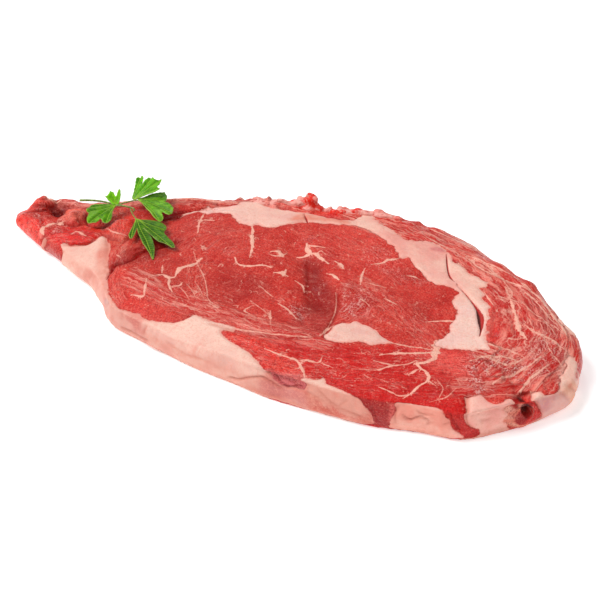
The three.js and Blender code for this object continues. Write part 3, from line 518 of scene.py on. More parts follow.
# Where the body stands higher: middle, half sizes and lift.
SWELLS = [
    ((-100, 30.5), (5, 3.5), 2.4),
    ((-111, 28), (5, 4), 1.2),
    ((105, 15), (9, 9), 2.2),
    ((113, 2), (7, 8), 1.6),
    ((-52, 45), (5, 4), 0.4),
    ((-92.6, 17.6), (4.4, 4), 2.0),
    ((-83, 6), (6, 2.6), 0.9),
    ((-70, 14.6), (4.6, 5), 1.0),
    ((-102.4, 23.6), (2.8, 2.2), -3.0),
    ((-104.6, 29.6), (3.6, 2.6), 1.6),
    ((-21, 52.6), (8, 3.6), 1.5),
    ((93.6, 27.4), (5, 4.6), 2.0),
    ((81, 36), (5, 4), 1.0),
    ((114, -6), (4, 5), 1.0),
    ((102.5, 1), (4, 6), 0.7),
]

# Where the cut edge bulges: distance round the rim, half length and how far out.
BULGES = [(28, 14, 0.8), (50, 10, 1.6), (139, 10, -0.5), (169, 10, -2.0), (246, 9, -1.5), (277, 9, 1.4)]

# Gritty meat with painted glints: how gritty, and where on the cut face.
GRIT_AND_GLINTS = [
    (1.0, [(84, -26), (90, -22), (96, -20.6), (102, -23), (106, -28), (104, -33), (99, -30), (93, -31),
     (92, -38), (96, -43), (93, -47), (88, -44), (85, -37), (82, -30)]),
    (0.7, [(13, -17), (17, -15), (21, -18), (23, -23), (20, -26), (16, -23)]),
    (0.6, [(29, 4), (35, 2), (42, -6), (40, -16), (34, -18), (31, -8)]),
    (0.9, [(-110, 18), (-107, 23), (-103.6, 21.6), (-103.4, 13), (-99, 9.8), (-93, 8.6), (-91.6, 5.6),
     (-96, 4.6), (-102, 7.4), (-106.4, 12.6)]),
    (0.65, [(104, -4), (110, -6), (113, -16), (110, -28), (104, -26), (101, -16)]),
    (0.3, [(30, 36), (40, 29), (50, 20), (58, 14), (50, 10), (38, 16), (28, 26)]),
    (0.4, [(66, -23), (74, -26), (72, -36), (64, -34), (58, -29)]),
]

FLECK_SEED = 11
FLECKS = [  # how many, inside which outline, how long and how wide, and the lie of the grain in degrees
    (190, [(-50, 24), (-38, 33), (-12, 30), (20, 42), (38, 32), (58, 14), (68, 10), (70, -18), (34, -16),
     (24, 4), (14, -32), (-16, -33), (-48, -30), (-56, -18), (-40, 10)], (0.3, 2.0), (0.1, 0.27), -40),
    (40, [(4, -42), (30, -38), (56, -32), (86, -28), (86, -46), (60, -58), (30, -54)], (0.5, 2.4),
     (0.12, 0.24), -8),
    (60, [(44, 50), (60, 40), (80, 24), (84, 8), (88, -16), (92, -42), (108, -30), (114, -12), (106, 8),
     (80, 34), (60, 48)], (1, 3.4), (0.14, 0.28), -50),
    (16, [(-96, 8), (-78, 6), (-66, 20), (-78, 22), (-94, 22), (-108, 14)], (0.6, 2), (0.12, 0.24), -40),
]


# ---- Plan geometry ----


def smooth(low, high, value):
    """0 at low, 1 at high, easing between."""
    t = np.clip((value - low) / (high - low), 0, 1)
    return t * t * (3 - 2 * t)


def curve_through(points, closed=False, step=0.8):
    """Points close together on a smooth curve through the given ones."""
    p = np.array(points, float)
    ends = (p[-1:], p[:2]) if closed else (2 * p[:1] - p[1:2], 2 * p[-1:] - p[-2:-1])
    p = np.vstack([ends[0], p, ends[1]])
    pieces = []
    for a, b, c, d in zip(p, p[1:], p[2:], p[3:]):
        ab, bc, cd = (max(np.linalg.norm(v), 1e-6) ** 0.5 for v in (b - a, c - b, d - c))
        leave = bc * ((b - a) / ab - (c - a) / (ab + bc) + (c - b) / bc)
        arrive = bc * ((c - b) / bc - (d - b) / (bc + cd) + (d - c) / cd)
        count = max(1, math.ceil(np.linalg.norm(c - b) / step))
        t = np.linspace(0, 1, count, endpoint=False)[:, None]
        pieces.append(
            (2 * t**3 - 3 * t**2 + 1) * b + (t**3 - 2 * t**2 + t) * leave
            + (3 * t**2 - 2 * t**3) * c + (t**3 - t**2) * arrive
        )
    if not closed:
        pieces.append(p[-2:-1])
    return np.vstack(pieces)


def follow(points, path, reach=1e6):
    """How each point lies by a path: nearest distance, signed offset across it, and run along it."""
    distance = np.full(len(points), np.inf)
    across = np.full(len(points), np.inf)
    along = np.zeros(len(points))
    near = np.flatnonzero(((points > path.min(0) - reach) & (points < path.max(0) + reach)).all(1))
    p = points[near]
    run = 0.0
    for a, b in zip(path, path[1:]):
        step = b - a
        length = math.hypot(*step)
        u = step / length
        q = p - a
        t = np.clip(q @ u, 0, length)
        side = q[:, 1] * u[0] - q[:, 0] * u[1]
        d = np.hypot(q[:, 0] - t * u[0], q[:, 1] - t * u[1])
        better = d < distance[near]
        hit = near[better]
        distance[hit] = d[better]
        across[hit] = side[better]
        along[hit] = run + t[better]
        run += length
    return distance, across, along


def depth_inside(points, outline, reach):
    """Signed distance to a closed outline, positive inside, no further out than reach."""
    signed = np.full(len(points), -float(reach))
    near = np.flatnonzero(((points > outline.min(0) - reach) & (points < outline.max(0) + reach)).all(1))
    p = points[near]
    distance = np.full(len(near), np.inf)
    within = np.zeros(len(near), bool)
    for a, b in zip(outline, np.roll(outline, -1, 0)):
        step = b - a
        length = max(math.hypot(*step), 1e-9)
        u = step / length
        q = p - a
        t = np.clip(q @ u, 0, length)
        distance = np.minimum(distance, np.hypot(q[:, 0] - t * u[0], q[:, 1] - t * u[1]))
        crosses = (a[1] > p[:, 1]) != (b[1] > p[:, 1])
        if a[1] != b[1]:
            within ^= crosses & (p[:, 0] < a[0] + (p[:, 1] - a[1]) * step[0] / step[1])
    signed[near] = np.where(within, distance, -distance)
    return np.maximum(signed, -reach)


CLOUD = np.random.default_rng(3).random((24, 24, 24)) * 2 - 1


def cloud(points, size, shift=0.0):
    """Soft random hills and hollows from -1 to 1, of a size, at points of two or three numbers."""
    p = np.zeros((len(points), 3))
    p[:, : points.shape[1]] = points
    p = p / size + 7.3 * shift + 101
    cell = np.floor(p).astype(int)
    t = p - cell
    t = t * t * (3 - 2 * t)
    total = np.zeros(len(p))
    for corner in np.ndindex(2, 2, 2):
        x, y, z = (cell + corner).T % 24
        weight = np.prod(np.where(corner, t, 1 - t), axis=1)
        total += CLOUD[x, y, z] * weight
    return total


def hills(points, *layers):
    """Soft random hills of several sizes added up: each one's height, size and shift."""
    return sum(height * cloud(points, size, shift) for height, size, shift in layers)


def round_the_rim(points):
    """How far in from the rim each plan point lies, and how far round the rim from the tail tip."""
    rim = curve_through(RIM, closed=True, step=1.0)
    path = np.vstack([rim, rim[:1]])
    distance, _, along = follow(points, path)
    inset = depth_inside(points, rim, 40)
    return np.where(inset > -40, np.sign(inset) * distance, inset), along


def shades(points, base, patches):
    """A colour for each point: a base with patches laid over it."""
    colour = np.tile(linear(*base), (len(points), 1))
    for _, shade, feather, outline in patches:
        reach = feather + 0.5
        depth = depth_inside(points, curve_through(outline, True, 1.5), reach)
        weight = smooth(-feather, feather, depth)[:, None]
        colour += (np.array(linear(*shade)) - colour) * weight
    return colour


def fat_depth(points, outlines, reach=4):
    """Signed distance into the nearest of some fat outlines."""
    depth = np.full(len(points), -float(reach))
    for outline in outlines.values():
        depth = np.maximum(depth, depth_inside(points, curve_through(outline, True, 1.0), reach))
    return np.minimum(depth, reach)


def fleck_paths():
    """Short strokes of fat scattered in the lean: half width, path and paleness."""
    dice = np.random.default_rng(FLECK_SEED)
    strokes = []
    for count, outline, lengths, widths, lie in FLECKS:
        corners = np.array(outline, float)
        low, high = corners.min(0), corners.max(0)
        made = 0
        while made < count:
            start = low + dice.random(2) * (high - low)
            turn = math.radians(lie + dice.normal(0, 30))
            length = lengths[0] + (lengths[1] - lengths[0]) * dice.random() ** 2
            half = widths[0] + (widths[1] - widths[0]) * dice.random()
            bend = dice.normal(0, 0.25) * length
            tone = 0.25 + 0.5 * dice.random()
            if depth_inside(start[None], corners, 5)[0] < 0:
                continue
            ahead = np.array([math.cos(turn), math.sin(turn)])
            aside = np.array([-ahead[1], ahead[0]])
            middle = start + ahead * length / 2 + aside * bend
            strokes.append((half, [start, middle, start + ahead * length], tone))
            made += 1
    return strokes


FAR = 9.0  # stands for no stroke near
NO_STROKE = (FAR, FAR, 0.1, 0.0)
STROKE_REACH = 3


def stroke_field(points, strokes):
    """For each point: offset from the nearest stroke's line, distance to it, half width there, and tone."""
    field = np.tile(NO_STROKE, (len(points), 1))
    for widths, path, tone in strokes:
        line = curve_through(path, step=0.7)
        distance, across, along = follow(points, line, STROKE_REACH)
        near = distance < STROKE_REACH
        run = along[near]
        total = np.linalg.norm(np.diff(line, axis=0), axis=1).sum()
        if isinstance(widths, tuple):
            stops = np.linalg.norm(np.diff(np.array(path, float), axis=0), axis=1).cumsum()
            stops = np.concatenate([[0], stops]) * total / stops[-1]
            half = np.interp(run, stops, widths)
        else:
            half = widths * (0.45 + 0.55 * smooth(0, 0.35 * total, np.minimum(run, total - run)))
        made = np.column_stack([across[near], distance[near], half, np.full(len(run), tone)])
        old = field[near]
        better = made[:, 1] - made[:, 2] < old[:, 1] - old[:, 2]
        old[better] = made[better]
        field[near] = old
    return field


def vein_field(points):
    """The veins and flecks of fat in the lean."""
    veins = [(half, path, min(1.0, 0.55 + 0.8 * np.max(half))) for half, path in VEINS]
    return stroke_field(points, [*veins, *fleck_paths()])


def cut_field(points):
    """The gaping cuts; the tone is how deep each is."""
    return stroke_field(points, [(halves, path, depth) for path, halves, depth in CUTS])


EYE_CORE = [(-10, 4), (22, -8)]  # the eye's fibres run in rings round this line
EYE_STRINGY = 0.34


def eye_rings(points):
    """The grain of the eye: run round its core, distance from it, and how stringy it is."""
    core = np.array(EYE_CORE, float)
    distance, _, _ = follow(points, core)
    ahead = (core[1] - core[0]) / np.linalg.norm(core[1] - core[0])
    off = points - core.mean(0)
    turn = np.arctan2(np.abs(off[:, 0] * ahead[1] - off[:, 1] * ahead[0]), off @ ahead)
    clear = 0.35 + 0.65 * smooth(-0.3, 0.4, cloud(points, 11, 53))
    ring = EYE_STRINGY * smooth(48, 38, distance) * smooth(1, 9, distance) * clear
    return np.column_stack([12 * turn, distance + 2.6 * cloud(points, 10, 51), ring])


def grain_field(points):
    """For each point: run along the grain, offset across it, and how stringy it is."""
    field = eye_rings(points)
    loose = field[:, 2] < 0.01
    field[loose, :2] = points[loose]
    for path, reach, stringy in GRAIN_GUIDES:
        distance, across, along = follow(points, curve_through(path, step=2.0), reach)
        weight = stringy * smooth(reach, reach * 0.45, np.where(np.isfinite(distance), distance, 1e6))
        better = weight > field[:, 2]
        field[better] = np.stack([along, across, weight], 1)[better]
    return field


def grit_and_glint_field(points):
    """How gritty the meat is at each point, from 0 to 1."""
    grit = np.zeros(len(points))
    for share, outline in GRIT_AND_GLINTS:
        inside = smooth(-2.9, 2.5, depth_inside(points, curve_through(outline, True, 2.0), 3))
        grit = np.maximum(grit, share * inside)
    return grit


# ---- Mesh helpers ----


def select_only(obj):
    bpy.ops.object.select_all(action="DESELECT")
    obj.select_set(True)
    bpy.context.view_layer.objects.active = obj


def apply_modifier(obj, name, kind, **settings):
    """Adds a modifier, sets it and applies it."""
    modifier = obj.modifiers.new(name, kind)
    for key, value in settings.items():
        setattr(modifier, key, value)
    select_only(obj)
    bpy.ops.object.modifier_apply(modifier=modifier.name)


def surface(obj, material):
    """Smooth shading and a material all over."""
    select_only(obj)
    bpy.ops.object.shade_smooth()
    obj.data.materials.append(material)


def vertex_group(obj, name, weights):
    group = obj.vertex_groups.new(name=name)
    for index in np.flatnonzero(weights > 0.01):
        group.add([int(index)], float(weights[index]), "REPLACE")


def read_points(mesh):
    co = np.empty(len(mesh.vertices) * 3, np.float32)
    mesh.vertices.foreach_get("co", co)
    return co.reshape(-1, 3).astype(float)


def read_normals(mesh):
    normals = np.empty(len(mesh.vertices) * 3, np.float32)
    mesh.vertex_normals.foreach_get("vector", normals)
    return normals.reshape(-1, 3).astype(float)


def add_object(name, data):
    obj = bpy.data.objects.new(name, data)
    bpy.context.scene.collection.objects.link(obj)
    return obj


def write_points(mesh, points):
    mesh.vertices.foreach_set("co", points.astype(np.float32).ravel())
    mesh.update()


FIELD_OF_KIND = {"FLOAT": "value", "FLOAT_VECTOR": "vector", "FLOAT_COLOR": "color"}


def write_attribute(mesh, name, kind, values):
    if kind == "FLOAT_COLOR":
        values = np.column_stack([values, np.ones(len(values))])
    attribute = mesh.attributes.new(name, kind, "POINT")
    attribute.data.foreach_set(FIELD_OF_KIND[kind], values.astype(np.float32).ravel())


# ---- Steak mesh ----

SAME_PLACE = 2e-6
FLAT = 0.03 * MM
FACE_SMOOTHING = 26
EDGE_SMOOTHING = 4
UNDER_DENT = 0.12  # how uneven the underside is
EDGE_SEAM_SHARE = 0.8


def copy_of_node(node, name):
    """A new object with the CAD node's mesh, its loose triangles merged."""
    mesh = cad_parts[node].data.copy()
    mesh.materials.clear()
    obj = add_object(name, mesh)
    select_only(obj)
    bpy.ops.object.mode_set(mode="EDIT")
    bpy.ops.mesh.select_all(action="SELECT")
    bpy.ops.mesh.remove_doubles(threshold=SAME_PLACE)
    bpy.ops.object.mode_set(mode="OBJECT")
    return obj


# Slits and furrows of the solid packed up, some to be cut again more finely: path, half width, depth left.
PACKED = [
    ([(58.2, 35.8), (61, 27), (64.5, 20.5), (70, 14.5), (75, 9.5), (79, 4), (81.5, -1), (83, -6),
     (83.6, -12)], 1.8, 0.1),
    ([(-62.6, -12.8), (-58.5, -12), (-56, -9), (-53.5, -5.5), (-51, -2), (-48.5, 2.5), (-45, 8),
     (-41, 12.5), (-36.6, 18.4)], 1.9, 0.1),
    ([(98.6, -26), (101, -29.4), (104, -34), (105.6, -37.6)], 1.8, 0.15),
]


def packing(body, path, half, left):
    """A closed strip along a slit, from inside the body up to the face on both sides of it."""
    around = read_points(body.data) / MM
    line = curve_through(path, step=1.5)
    ahead = np.gradient(line, axis=0)
    ahead /= np.linalg.norm(ahead, axis=1)[:, None]
    aside = np.column_stack([-ahead[:, 1], ahead[:, 0]]) * half
    mesh = bmesh.new()
    rows = []
    for p, a in zip(line, aside):
        heights = around[np.linalg.norm(around[:, :2] - p, axis=1) < 4.5, 2]
        top = heights[heights > heights.max() - 1.2].mean() - left
        corners = [(*(p + a), 1.5), (*(p - a), 1.5), (*(p - a), top), (*(p + a), top)]
        rows.append([mesh.verts.new(Vector(c) * MM) for c in corners])
    for near, far in zip(rows, rows[1:]):
        for i, j in ((0, 1), (1, 2), (2, 3), (3, 0)):
            mesh.faces.new([near[i], near[j], far[j], far[i]])
    mesh.faces.new(rows[0])
    mesh.faces.new(rows[-1])
    bmesh.ops.recalc_face_normals(mesh, faces=mesh.faces)
    data = bpy.data.meshes.new("packing")
    mesh.to_mesh(data)
    mesh.free()
    return add_object("packing", data)


def triangle_lattice(low, high, spacing):
    """Points of an even lattice of triangles over a rectangle."""
    row = spacing * math.sqrt(3) / 2
    return np.array([
        (low[0] + spacing * (i + 0.5 * (j % 2)), low[1] + row * j)
        for j in range(int((high[1] - low[1]) / row) + 1)
        for i in range(int((high[0] - low[0]) / spacing) + 1)
    ])


def relay_underside(obj, spacing):
    """Swaps the even mesh of the flat underside for a coarser one that shares its outline."""
    mesh = bmesh.new()
    mesh.from_mesh(obj.data)
    mesh.faces.ensure_lookup_table()
    under = [f for f in mesh.faces if all(v.co.z < FLAT for v in f.verts)]
    bmesh.ops.delete(mesh, geom=under, context="FACES")
    border = [e for e in mesh.edges if e.is_boundary]
    ring = sorted({v for e in border for v in e.verts}, key=lambda v: v.index)
    place = {v: i for i, v in enumerate(ring)}
    outline = np.array([(v.co.x, v.co.y) for v in ring])
    lattice = triangle_lattice(outline.min(0), outline.max(0), spacing)
    inset, _ = round_the_rim(lattice / MM)
    lattice = lattice[inset > 1.8 + 0.9 * spacing / MM]
    seeds = [Vector(p) for p in outline] + [Vector(p) for p in lattice]
    edges = [(place[e.verts[0]], place[e.verts[1]]) for e in border]
    points, _, faces, *_ = delaunay_2d_cdt(seeds, edges, [], 1, 1e-7)
    made = ring + [mesh.verts.new((p.x, p.y, 0)) for p in points[len(ring):]]
    for face in faces:
        corners = [made[i] for i in face]
        a, b, c = (points[i] for i in face[:3])
        if (b - a).cross(c - a) > 0:
            corners.reverse()
        mesh.faces.new(corners)
    mesh.to_mesh(obj.data)
    mesh.free()


EDGE_END = (0.9, 1.8)  # how far in from the rim the cut edge gives way to the face


def face_wall_weights(points):
    """Distance in from the rim, distance round it, and how far a point belongs to the cut edge."""
    inset, around = round_the_rim(points[:, :2])
    return inset, around, 1 - smooth(*EDGE_END, inset)


def sunk(points, seams):
    """How deep the seams and creases are at each point."""
    depth = np.zeros(len(points))
    for path, deep, half in seams:
        distance, _, along = follow(points, curve_through(path, step=1.0), 5)
        near = distance < 5
        ends = smooth(0, 2.5, np.minimum(along, along.max() - along))
        depth[near] = np.maximum(depth[near], (deep * ends * np.exp(-((distance / half) ** 2)))[near])
    return depth


def face_relief(points, at):
    """How far the cut face stands out of the plain body, in millimetres."""
    plan = points[:, :2]
    lean = smooth(0.5, -0.5, at["fat"])
    in_grain = np.column_stack([at["grain"][:, 0] / 9, at["grain"][:, 1] / 1.6])
    in_bundle = np.column_stack([at["grain"][:, 0] / 15, at["grain"][:, 1] / 4.4])
    strings = hills(in_grain, (0.3, 1, 1)) + hills(in_bundle, (0.45, 1, 2))
    height = hills(points, (0.26, 8, 3), (0.16, 3.2, 4), (0.08, 1.4, 5))
    height += at["grain"][:, 2] * lean * strings
    height += at["grit"] * lean * hills(points, (0.28, 1.6, 14), (0.2, 2.6, 15))
    height += 0.3 * smooth(-0.5, 1.4, at["fat"]) - 0.2 * np.exp(-((at["fat"] + 0.1) / 0.6) ** 2)
    height += 0.1 * smooth(0.3, -0.2, at["veins"][:, 1] - at["veins"][:, 2])
    tail = smooth(-58, -70, plan[:, 0])
    height += tail * lean * (hills(in_bundle, (0.6, 1, 6)) + hills(points, (0.3, 2.2, 7)))
    back = smooth(44, 50, plan[:, 1]) * smooth(-60, -40, plan[:, 0]) * smooth(60, 40, plan[:, 0])
    height += back * lean * hills(points, (0.9, 3.4, 16), (0.45, 1.7, 17))
    return height - sunk(plan, SEAMS)


def wall_relief(points, at):
    """How far the cut edge stands out of the plain body, in millimetres."""
    height = hills(points, (0.4, 6, 8), (0.26, 2.8, 9), (0.12, 1.3, 10))
    height -= 0.3 * smooth(0.4, -0.4, at["fat"])
    height += 0.5 * smooth(-66, -80, points[:, 0]) * cloud(points, 4, 18)
    far_side = smooth(300, 316, at["around"]) * smooth(576, 560, at["around"])
    height += far_side * hills(points, (0.5, 5, 19), (0.3, 2, 20))
    return height - EDGE_SEAM_SHARE * sunk(at["unrolled"], EDGE_SEAMS)


def steak_fields(points):
    """Everything the steak's relief and colours need at its points, in millimetres."""
    inset, around, edge = face_wall_weights(points)
    below = (points[:, 2] < 0.5) & (inset > 1.6)
    plan = points[:, :2].copy()
    drift = np.column_stack([cloud(plan, 23, 11), cloud(plan, 23, 12)]) * 3.5
    plan[below] += drift[below]
    unrolled = np.column_stack([around, points[:, 2]])
    towards_back = smooth(4, 24, plan[:, 1] + 0.4 * plan[:, 0])
    frayed = towards_back * hills(plan, (0.8, 2.4, 61), (0.5, 1.3, 62))
    fat = (1 - edge) * (fat_depth(plan, FAT_OUTLINES) + frayed)
    fat += edge * fat_depth(unrolled, EDGE_FAT_OUTLINES)
    veins = vein_field(plan)
    cuts = cut_field(plan)
    for strokes, off in ((veins, edge > 0.6), (cuts, (edge > 0.6) | below)):
        strokes[off] = NO_STROKE
    grit = grit_and_glint_field(plan) * ~below
    return {
        "inset": inset, "around": around, "edge": edge, "plan": plan, "unrolled": unrolled, "fat": fat,
        "veins": veins, "cuts": cuts, "grit": grit, "grain": grain_field(plan),
    }


POCKET = ((107, -43.5, 5.5), (3.2, 4.5, 3.6))  # middle and half sizes of the hollow in the cut edge
HOLE = ((258.9, 7.6), (1.65, 2.7), 34)  # what stays open: middle, half sizes on the edge, lean in degrees
HOLE_OUTWARD = (0.707, -0.707, 0)
HOLE_TOP = 10.5  # the meat closes over the hollow above this height

LEAN = (206, 62, 50)
EDGE_LEAN = (196, 62, 54)
FAT = (250, 202, 184)
# The cut edge's fat has its own pinker shade, darkened further as painted shade of the side.
EDGE_FAT = (226, 150, 132)
# Painted shade: the inside of the open hole is painted near black.
HOLE_SHADE = (50, 0, 0)
# How dark the painted shade of gaps and creases becomes.
GAP_SHADE = 0.9
CREASE_SHADE = 0.8
CREASE_SHADE_MOST = 0.85


def from_hole(unrolled):
    """How far points of the cut edge lie from the open hole's middle, 1 being its border."""
    middle, halves, lean = HOLE
    off = unrolled - middle
    c, s = math.cos(math.radians(lean)), math.sin(math.radians(lean))
    turned = np.column_stack([off[:, 0] * c + off[:, 1] * s, off[:, 1] * c - off[:, 0] * s]) / halves
    return np.hypot(turned[:, 0], turned[:, 1])


def shut_pocket(points, at):
    """How far the hollow's surroundings move out so that only a small leaning hole stays open."""
    beyond = smooth(0.85, 1.35, from_hole(at["unrolled"]))
    from_pocket = np.linalg.norm((points - POCKET[0]) / np.array(POCKET[1]), axis=1)
    inside = smooth(1.5, 1.15, from_pocket) * smooth(HOLE_TOP, HOLE_TOP - 1.3, points[:, 2])
    out = inside * beyond * np.clip(at["inset"] - 0.4, 0, 5)
    return out[:, None] * HOLE_OUTWARD


def steak_colours(at, points, normals):
    """The shades of lean and fat at each point, and the painted shade of gaps, steep hollows and creases."""
    share = at["edge"][:, None]
    lean = shades(at["plan"], LEAN, LEAN_PATCHES) * (1 - share)
    lean += shades(at["unrolled"], EDGE_LEAN, EDGE_LEAN_PATCHES) * share
    fat = shades(at["plan"], FAT, FAT_PATCHES) * (1 - share)
    fat += shades(at["unrolled"], EDGE_FAT, EDGE_FAT_PATCHES) * share
    # Painted shade: steep walls inside the face, in slits and hollows, are darkened.
    steep = smooth(0.7, 0.3, np.abs(normals[:, 2]))
    deep = steep * smooth(3.5, 5.5, at["inset"]) * smooth(1, 2, points[:, 2])
    # Painted shade: the open hole's inside.
    hollow = smooth(1.2, 0.9, from_hole(at["unrolled"])) * smooth(0.4, 1.4, at["inset"])
    hollow *= smooth(11, 10, points[:, 2])
    lean += (linear(*HOLE_SHADE) - lean) * hollow[:, None]
    deep *= 1 - hollow
    # Painted shade along the seams and creases, as deep as each is sunk.
    creased = (1 - at["edge"]) * sunk(at["plan"], SEAMS) + at["edge"] * sunk(at["unrolled"], EDGE_SEAMS)
    return lean, fat, np.maximum(GAP_SHADE * deep, np.minimum(CREASE_SHADE * creased, CREASE_SHADE_MOST))


def build_steak(sizes):
    """The solid with its slits packed, meshed evenly, softened, and given its relief and fields."""
    body = copy_of_node("steak", "raw_steak")
    body = join_as([body, *(packing(body, *strip) for strip in PACKED)], "raw_steak")
    apply_modifier(body, "Even mesh", "REMESH", mode="VOXEL", voxel_size=sizes.cell, use_smooth_shade=True)
    relay_underside(body, sizes.under_cell)
    mesh = body.data
    points = read_points(mesh) / MM
    inset, _, _ = face_wall_weights(points)
    uncut = smooth(1.2, 2.6, cut_field(points[:, :2])[:, 1])
    above = smooth(0.1, 1.2, points[:, 2])
    broad = smooth(3, 6, inset) * smooth(0.88, 0.97, read_normals(mesh)[:, 2]) * uncut
    vertex_group(body, "above", above)
    vertex_group(body, "broad", broad)
    apply_modifier(body, "Soften face", "SMOOTH", factor=0.5, iterations=FACE_SMOOTHING, vertex_group="broad")
    apply_modifier(body, "Soften", "SMOOTH", factor=0.5, iterations=EDGE_SMOOTHING, vertex_group="above")
    body.vertex_groups.clear()

    points = read_points(mesh) / MM
    normals = read_normals(mesh)
    at = steak_fields(points)
    edge = at["edge"]
    upward = smooth(0.2, 0.6, normals[:, 2])
    lift = (1 - edge) * upward * face_relief(points, at) + edge * wall_relief(points, at)
    points += normals * (lift * smooth(0.15, 1.6, points[:, 2]) * sizes.relief / MM)[:, None]
    points += shut_pocket(points, at)
    outward = normals * (1, 1, 0)
    for middle, half, out in BULGES:
        share = edge * np.exp(-(((at["around"] - middle) / half) ** 2)) * smooth(0.2, 2.5, points[:, 2])
        points += outward * (out * share)[:, None]
    for middle, halves, lift in SWELLS:
        off = (at["plan"] - middle) / halves
        points[:, 2] += lift * np.exp(-(off**2).sum(1)) * smooth(1.5, 7, points[:, 2])
    cut = smooth(0.25, -0.25, at["cuts"][:, 1] - at["cuts"][:, 2]) * at["cuts"][:, 3]
    points[:, 2] -= cut * smooth(2, 5, points[:, 2])
    under = (points[:, 2] < 0.05) & (at["inset"] > 3)
    points[under, 2] += UNDER_DENT * (1 + cloud(points[under], 6, 13))
    points[:, 2] = np.maximum(points[:, 2], 0)
    lean_colour, fat_colour, deep = steak_colours(at, points, normals)
    write_points(mesh, points * MM)
    write_attribute(mesh, "lean", "FLOAT_COLOR", lean_colour)
    write_attribute(mesh, "fat", "FLOAT_COLOR", fat_colour)
    # The third part is the painted shade of gaps and creases.
    write_attribute(mesh, "parts", "FLOAT_VECTOR", np.column_stack([at["fat"], edge, deep]))
    write_attribute(mesh, "veins", "FLOAT_VECTOR", at["veins"][:, :3])
    write_attribute(mesh, "cuts", "FLOAT_VECTOR", at["cuts"][:, :3])
    write_attribute(mesh, "grain", "FLOAT_VECTOR", at["grain"])
    # The third part is nearness to the floor, for the painted shade at the foot.
    marks = np.column_stack([at["veins"][:, 3], at["grit"], smooth(3, 0.5, points[:, 2])])
    write_attribute(mesh, "marks", "FLOAT_VECTOR", marks)
    surface(body, meat_material(sizes))
    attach(body, "root")
    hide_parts("steak")


# ---- Torn shreds on the back rim ----

SHRED_SEED = 5
CRUMBS = 6  # smaller lumps round each one
SHREDS = [  # middle, half sizes along x, y and z, and redness
    ((-24, 51.6, 12.4), (3.2, 1.8, 1.5), 0.0),
    ((-18.5, 52.2, 12.8), (2.8, 1.6, 1.6), 0.2),
    ((-13.4, 53.4, 12.6), (2.4, 1.6, 2.1), 0.35),
    ((-9.8, 54, 13), (2.2, 1.6, 2.0), 0.35),
    ((-6.6, 55, 13), (2.0, 1.6, 2.8), 0.6),
    ((-3.9, 55.2, 13.8), (2.1, 1.6, 3.6), 1.0),
    ((-4.4, 54, 12.2), (2.6, 1.6, 2), 0.6),
    ((-0.6, 55, 12.2), (1.8, 1.4, 2.2), 0.7),
    ((2.6, 55.4, 11.6), (2.0, 1.5, 1.6), 0.4),
    ((7.6, 54.2, 12), (2.4, 1.8, 1.9), 1.0),
    ((8, 56.4, 12.2), (1.6, 1.3, 1.8), 0.3),
    ((12.6, 56.4, 11.6), (2.8, 1.7, 1.5), 0.3),
    ((17.6, 57.2, 12.5), (2.8, 1.7, 1.8), 0.45),
    ((23.4, 57.8, 12.7), (3.4, 1.8, 1.5), 0.2),
    ((29.4, 58.2, 12.3), (3.2, 1.8, 1.4), 0.3),
]


def shred_lumps():
    """Every lump with its smaller ones: middle, half sizes and redness."""
    dice = np.random.default_rng(SHRED_SEED)
    lumps = []
    for middle, half, red in SHREDS:
        middle, half = np.array(middle), np.array(half)
        lumps.append((middle - (0, 0.4, 0.8), half * (1.2, 1, 1), red))
        for _ in range(CRUMBS):
            aside = dice.normal(0, 0.45, 3) * half * (1.5, 1, 0.6)
            size = half * (0.42 + 0.34 * dice.random(3)) * (1.3, 1, 0.9)
            lumps.append((middle + aside, size, np.clip(red + dice.normal(0, 0.22), 0, 1)))
    return lumps


def build_shreds(cell):
    """Torn meat rooted in the back rim: lumps melted into one ragged piece."""
    lumps = shred_lumps()
    balls = []
    for i, (middle, half, _) in enumerate(lumps):
        bpy.ops.object.select_all(action="DESELECT")
        bpy.ops.mesh.primitive_ico_sphere_add(subdivisions=3, radius=1, location=(0, 0, 0))
        ball = bpy.context.active_object
        points = read_points(ball.data)
        ragged = 1 + hills(points, (0.26, 1.1, i), (0.08, 0.45, i + 0.5))
        write_points(ball.data, (points * ragged[:, None] * half + middle) * MM)
        balls.append(ball)
    shreds = join_as(balls, "back_shreds")
    apply_modifier(shreds, "Melt", "REMESH", mode="VOXEL", voxel_size=cell, use_smooth_shade=True)
    apply_modifier(shreds, "Soften", "SMOOTH", factor=0.5, iterations=8)
    mesh = shreds.data
    points = read_points(mesh) / MM
    points += read_normals(mesh) * hills(points, (0.22, 1.5, 41), (0.16, 0.7, 42))[:, None]
    write_points(mesh, points * MM)
    nearness = [np.linalg.norm((points - middle) / half, axis=1) for middle, half, _ in lumps]
    red = np.array([lump[2] for lump in lumps])[np.argmin(nearness, axis=0)]
    write_attribute(mesh, "red", "FLOAT", red)
    surface(shreds, shred_material())
    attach(shreds, "root")
    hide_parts("steak")


# ---- Materials ----


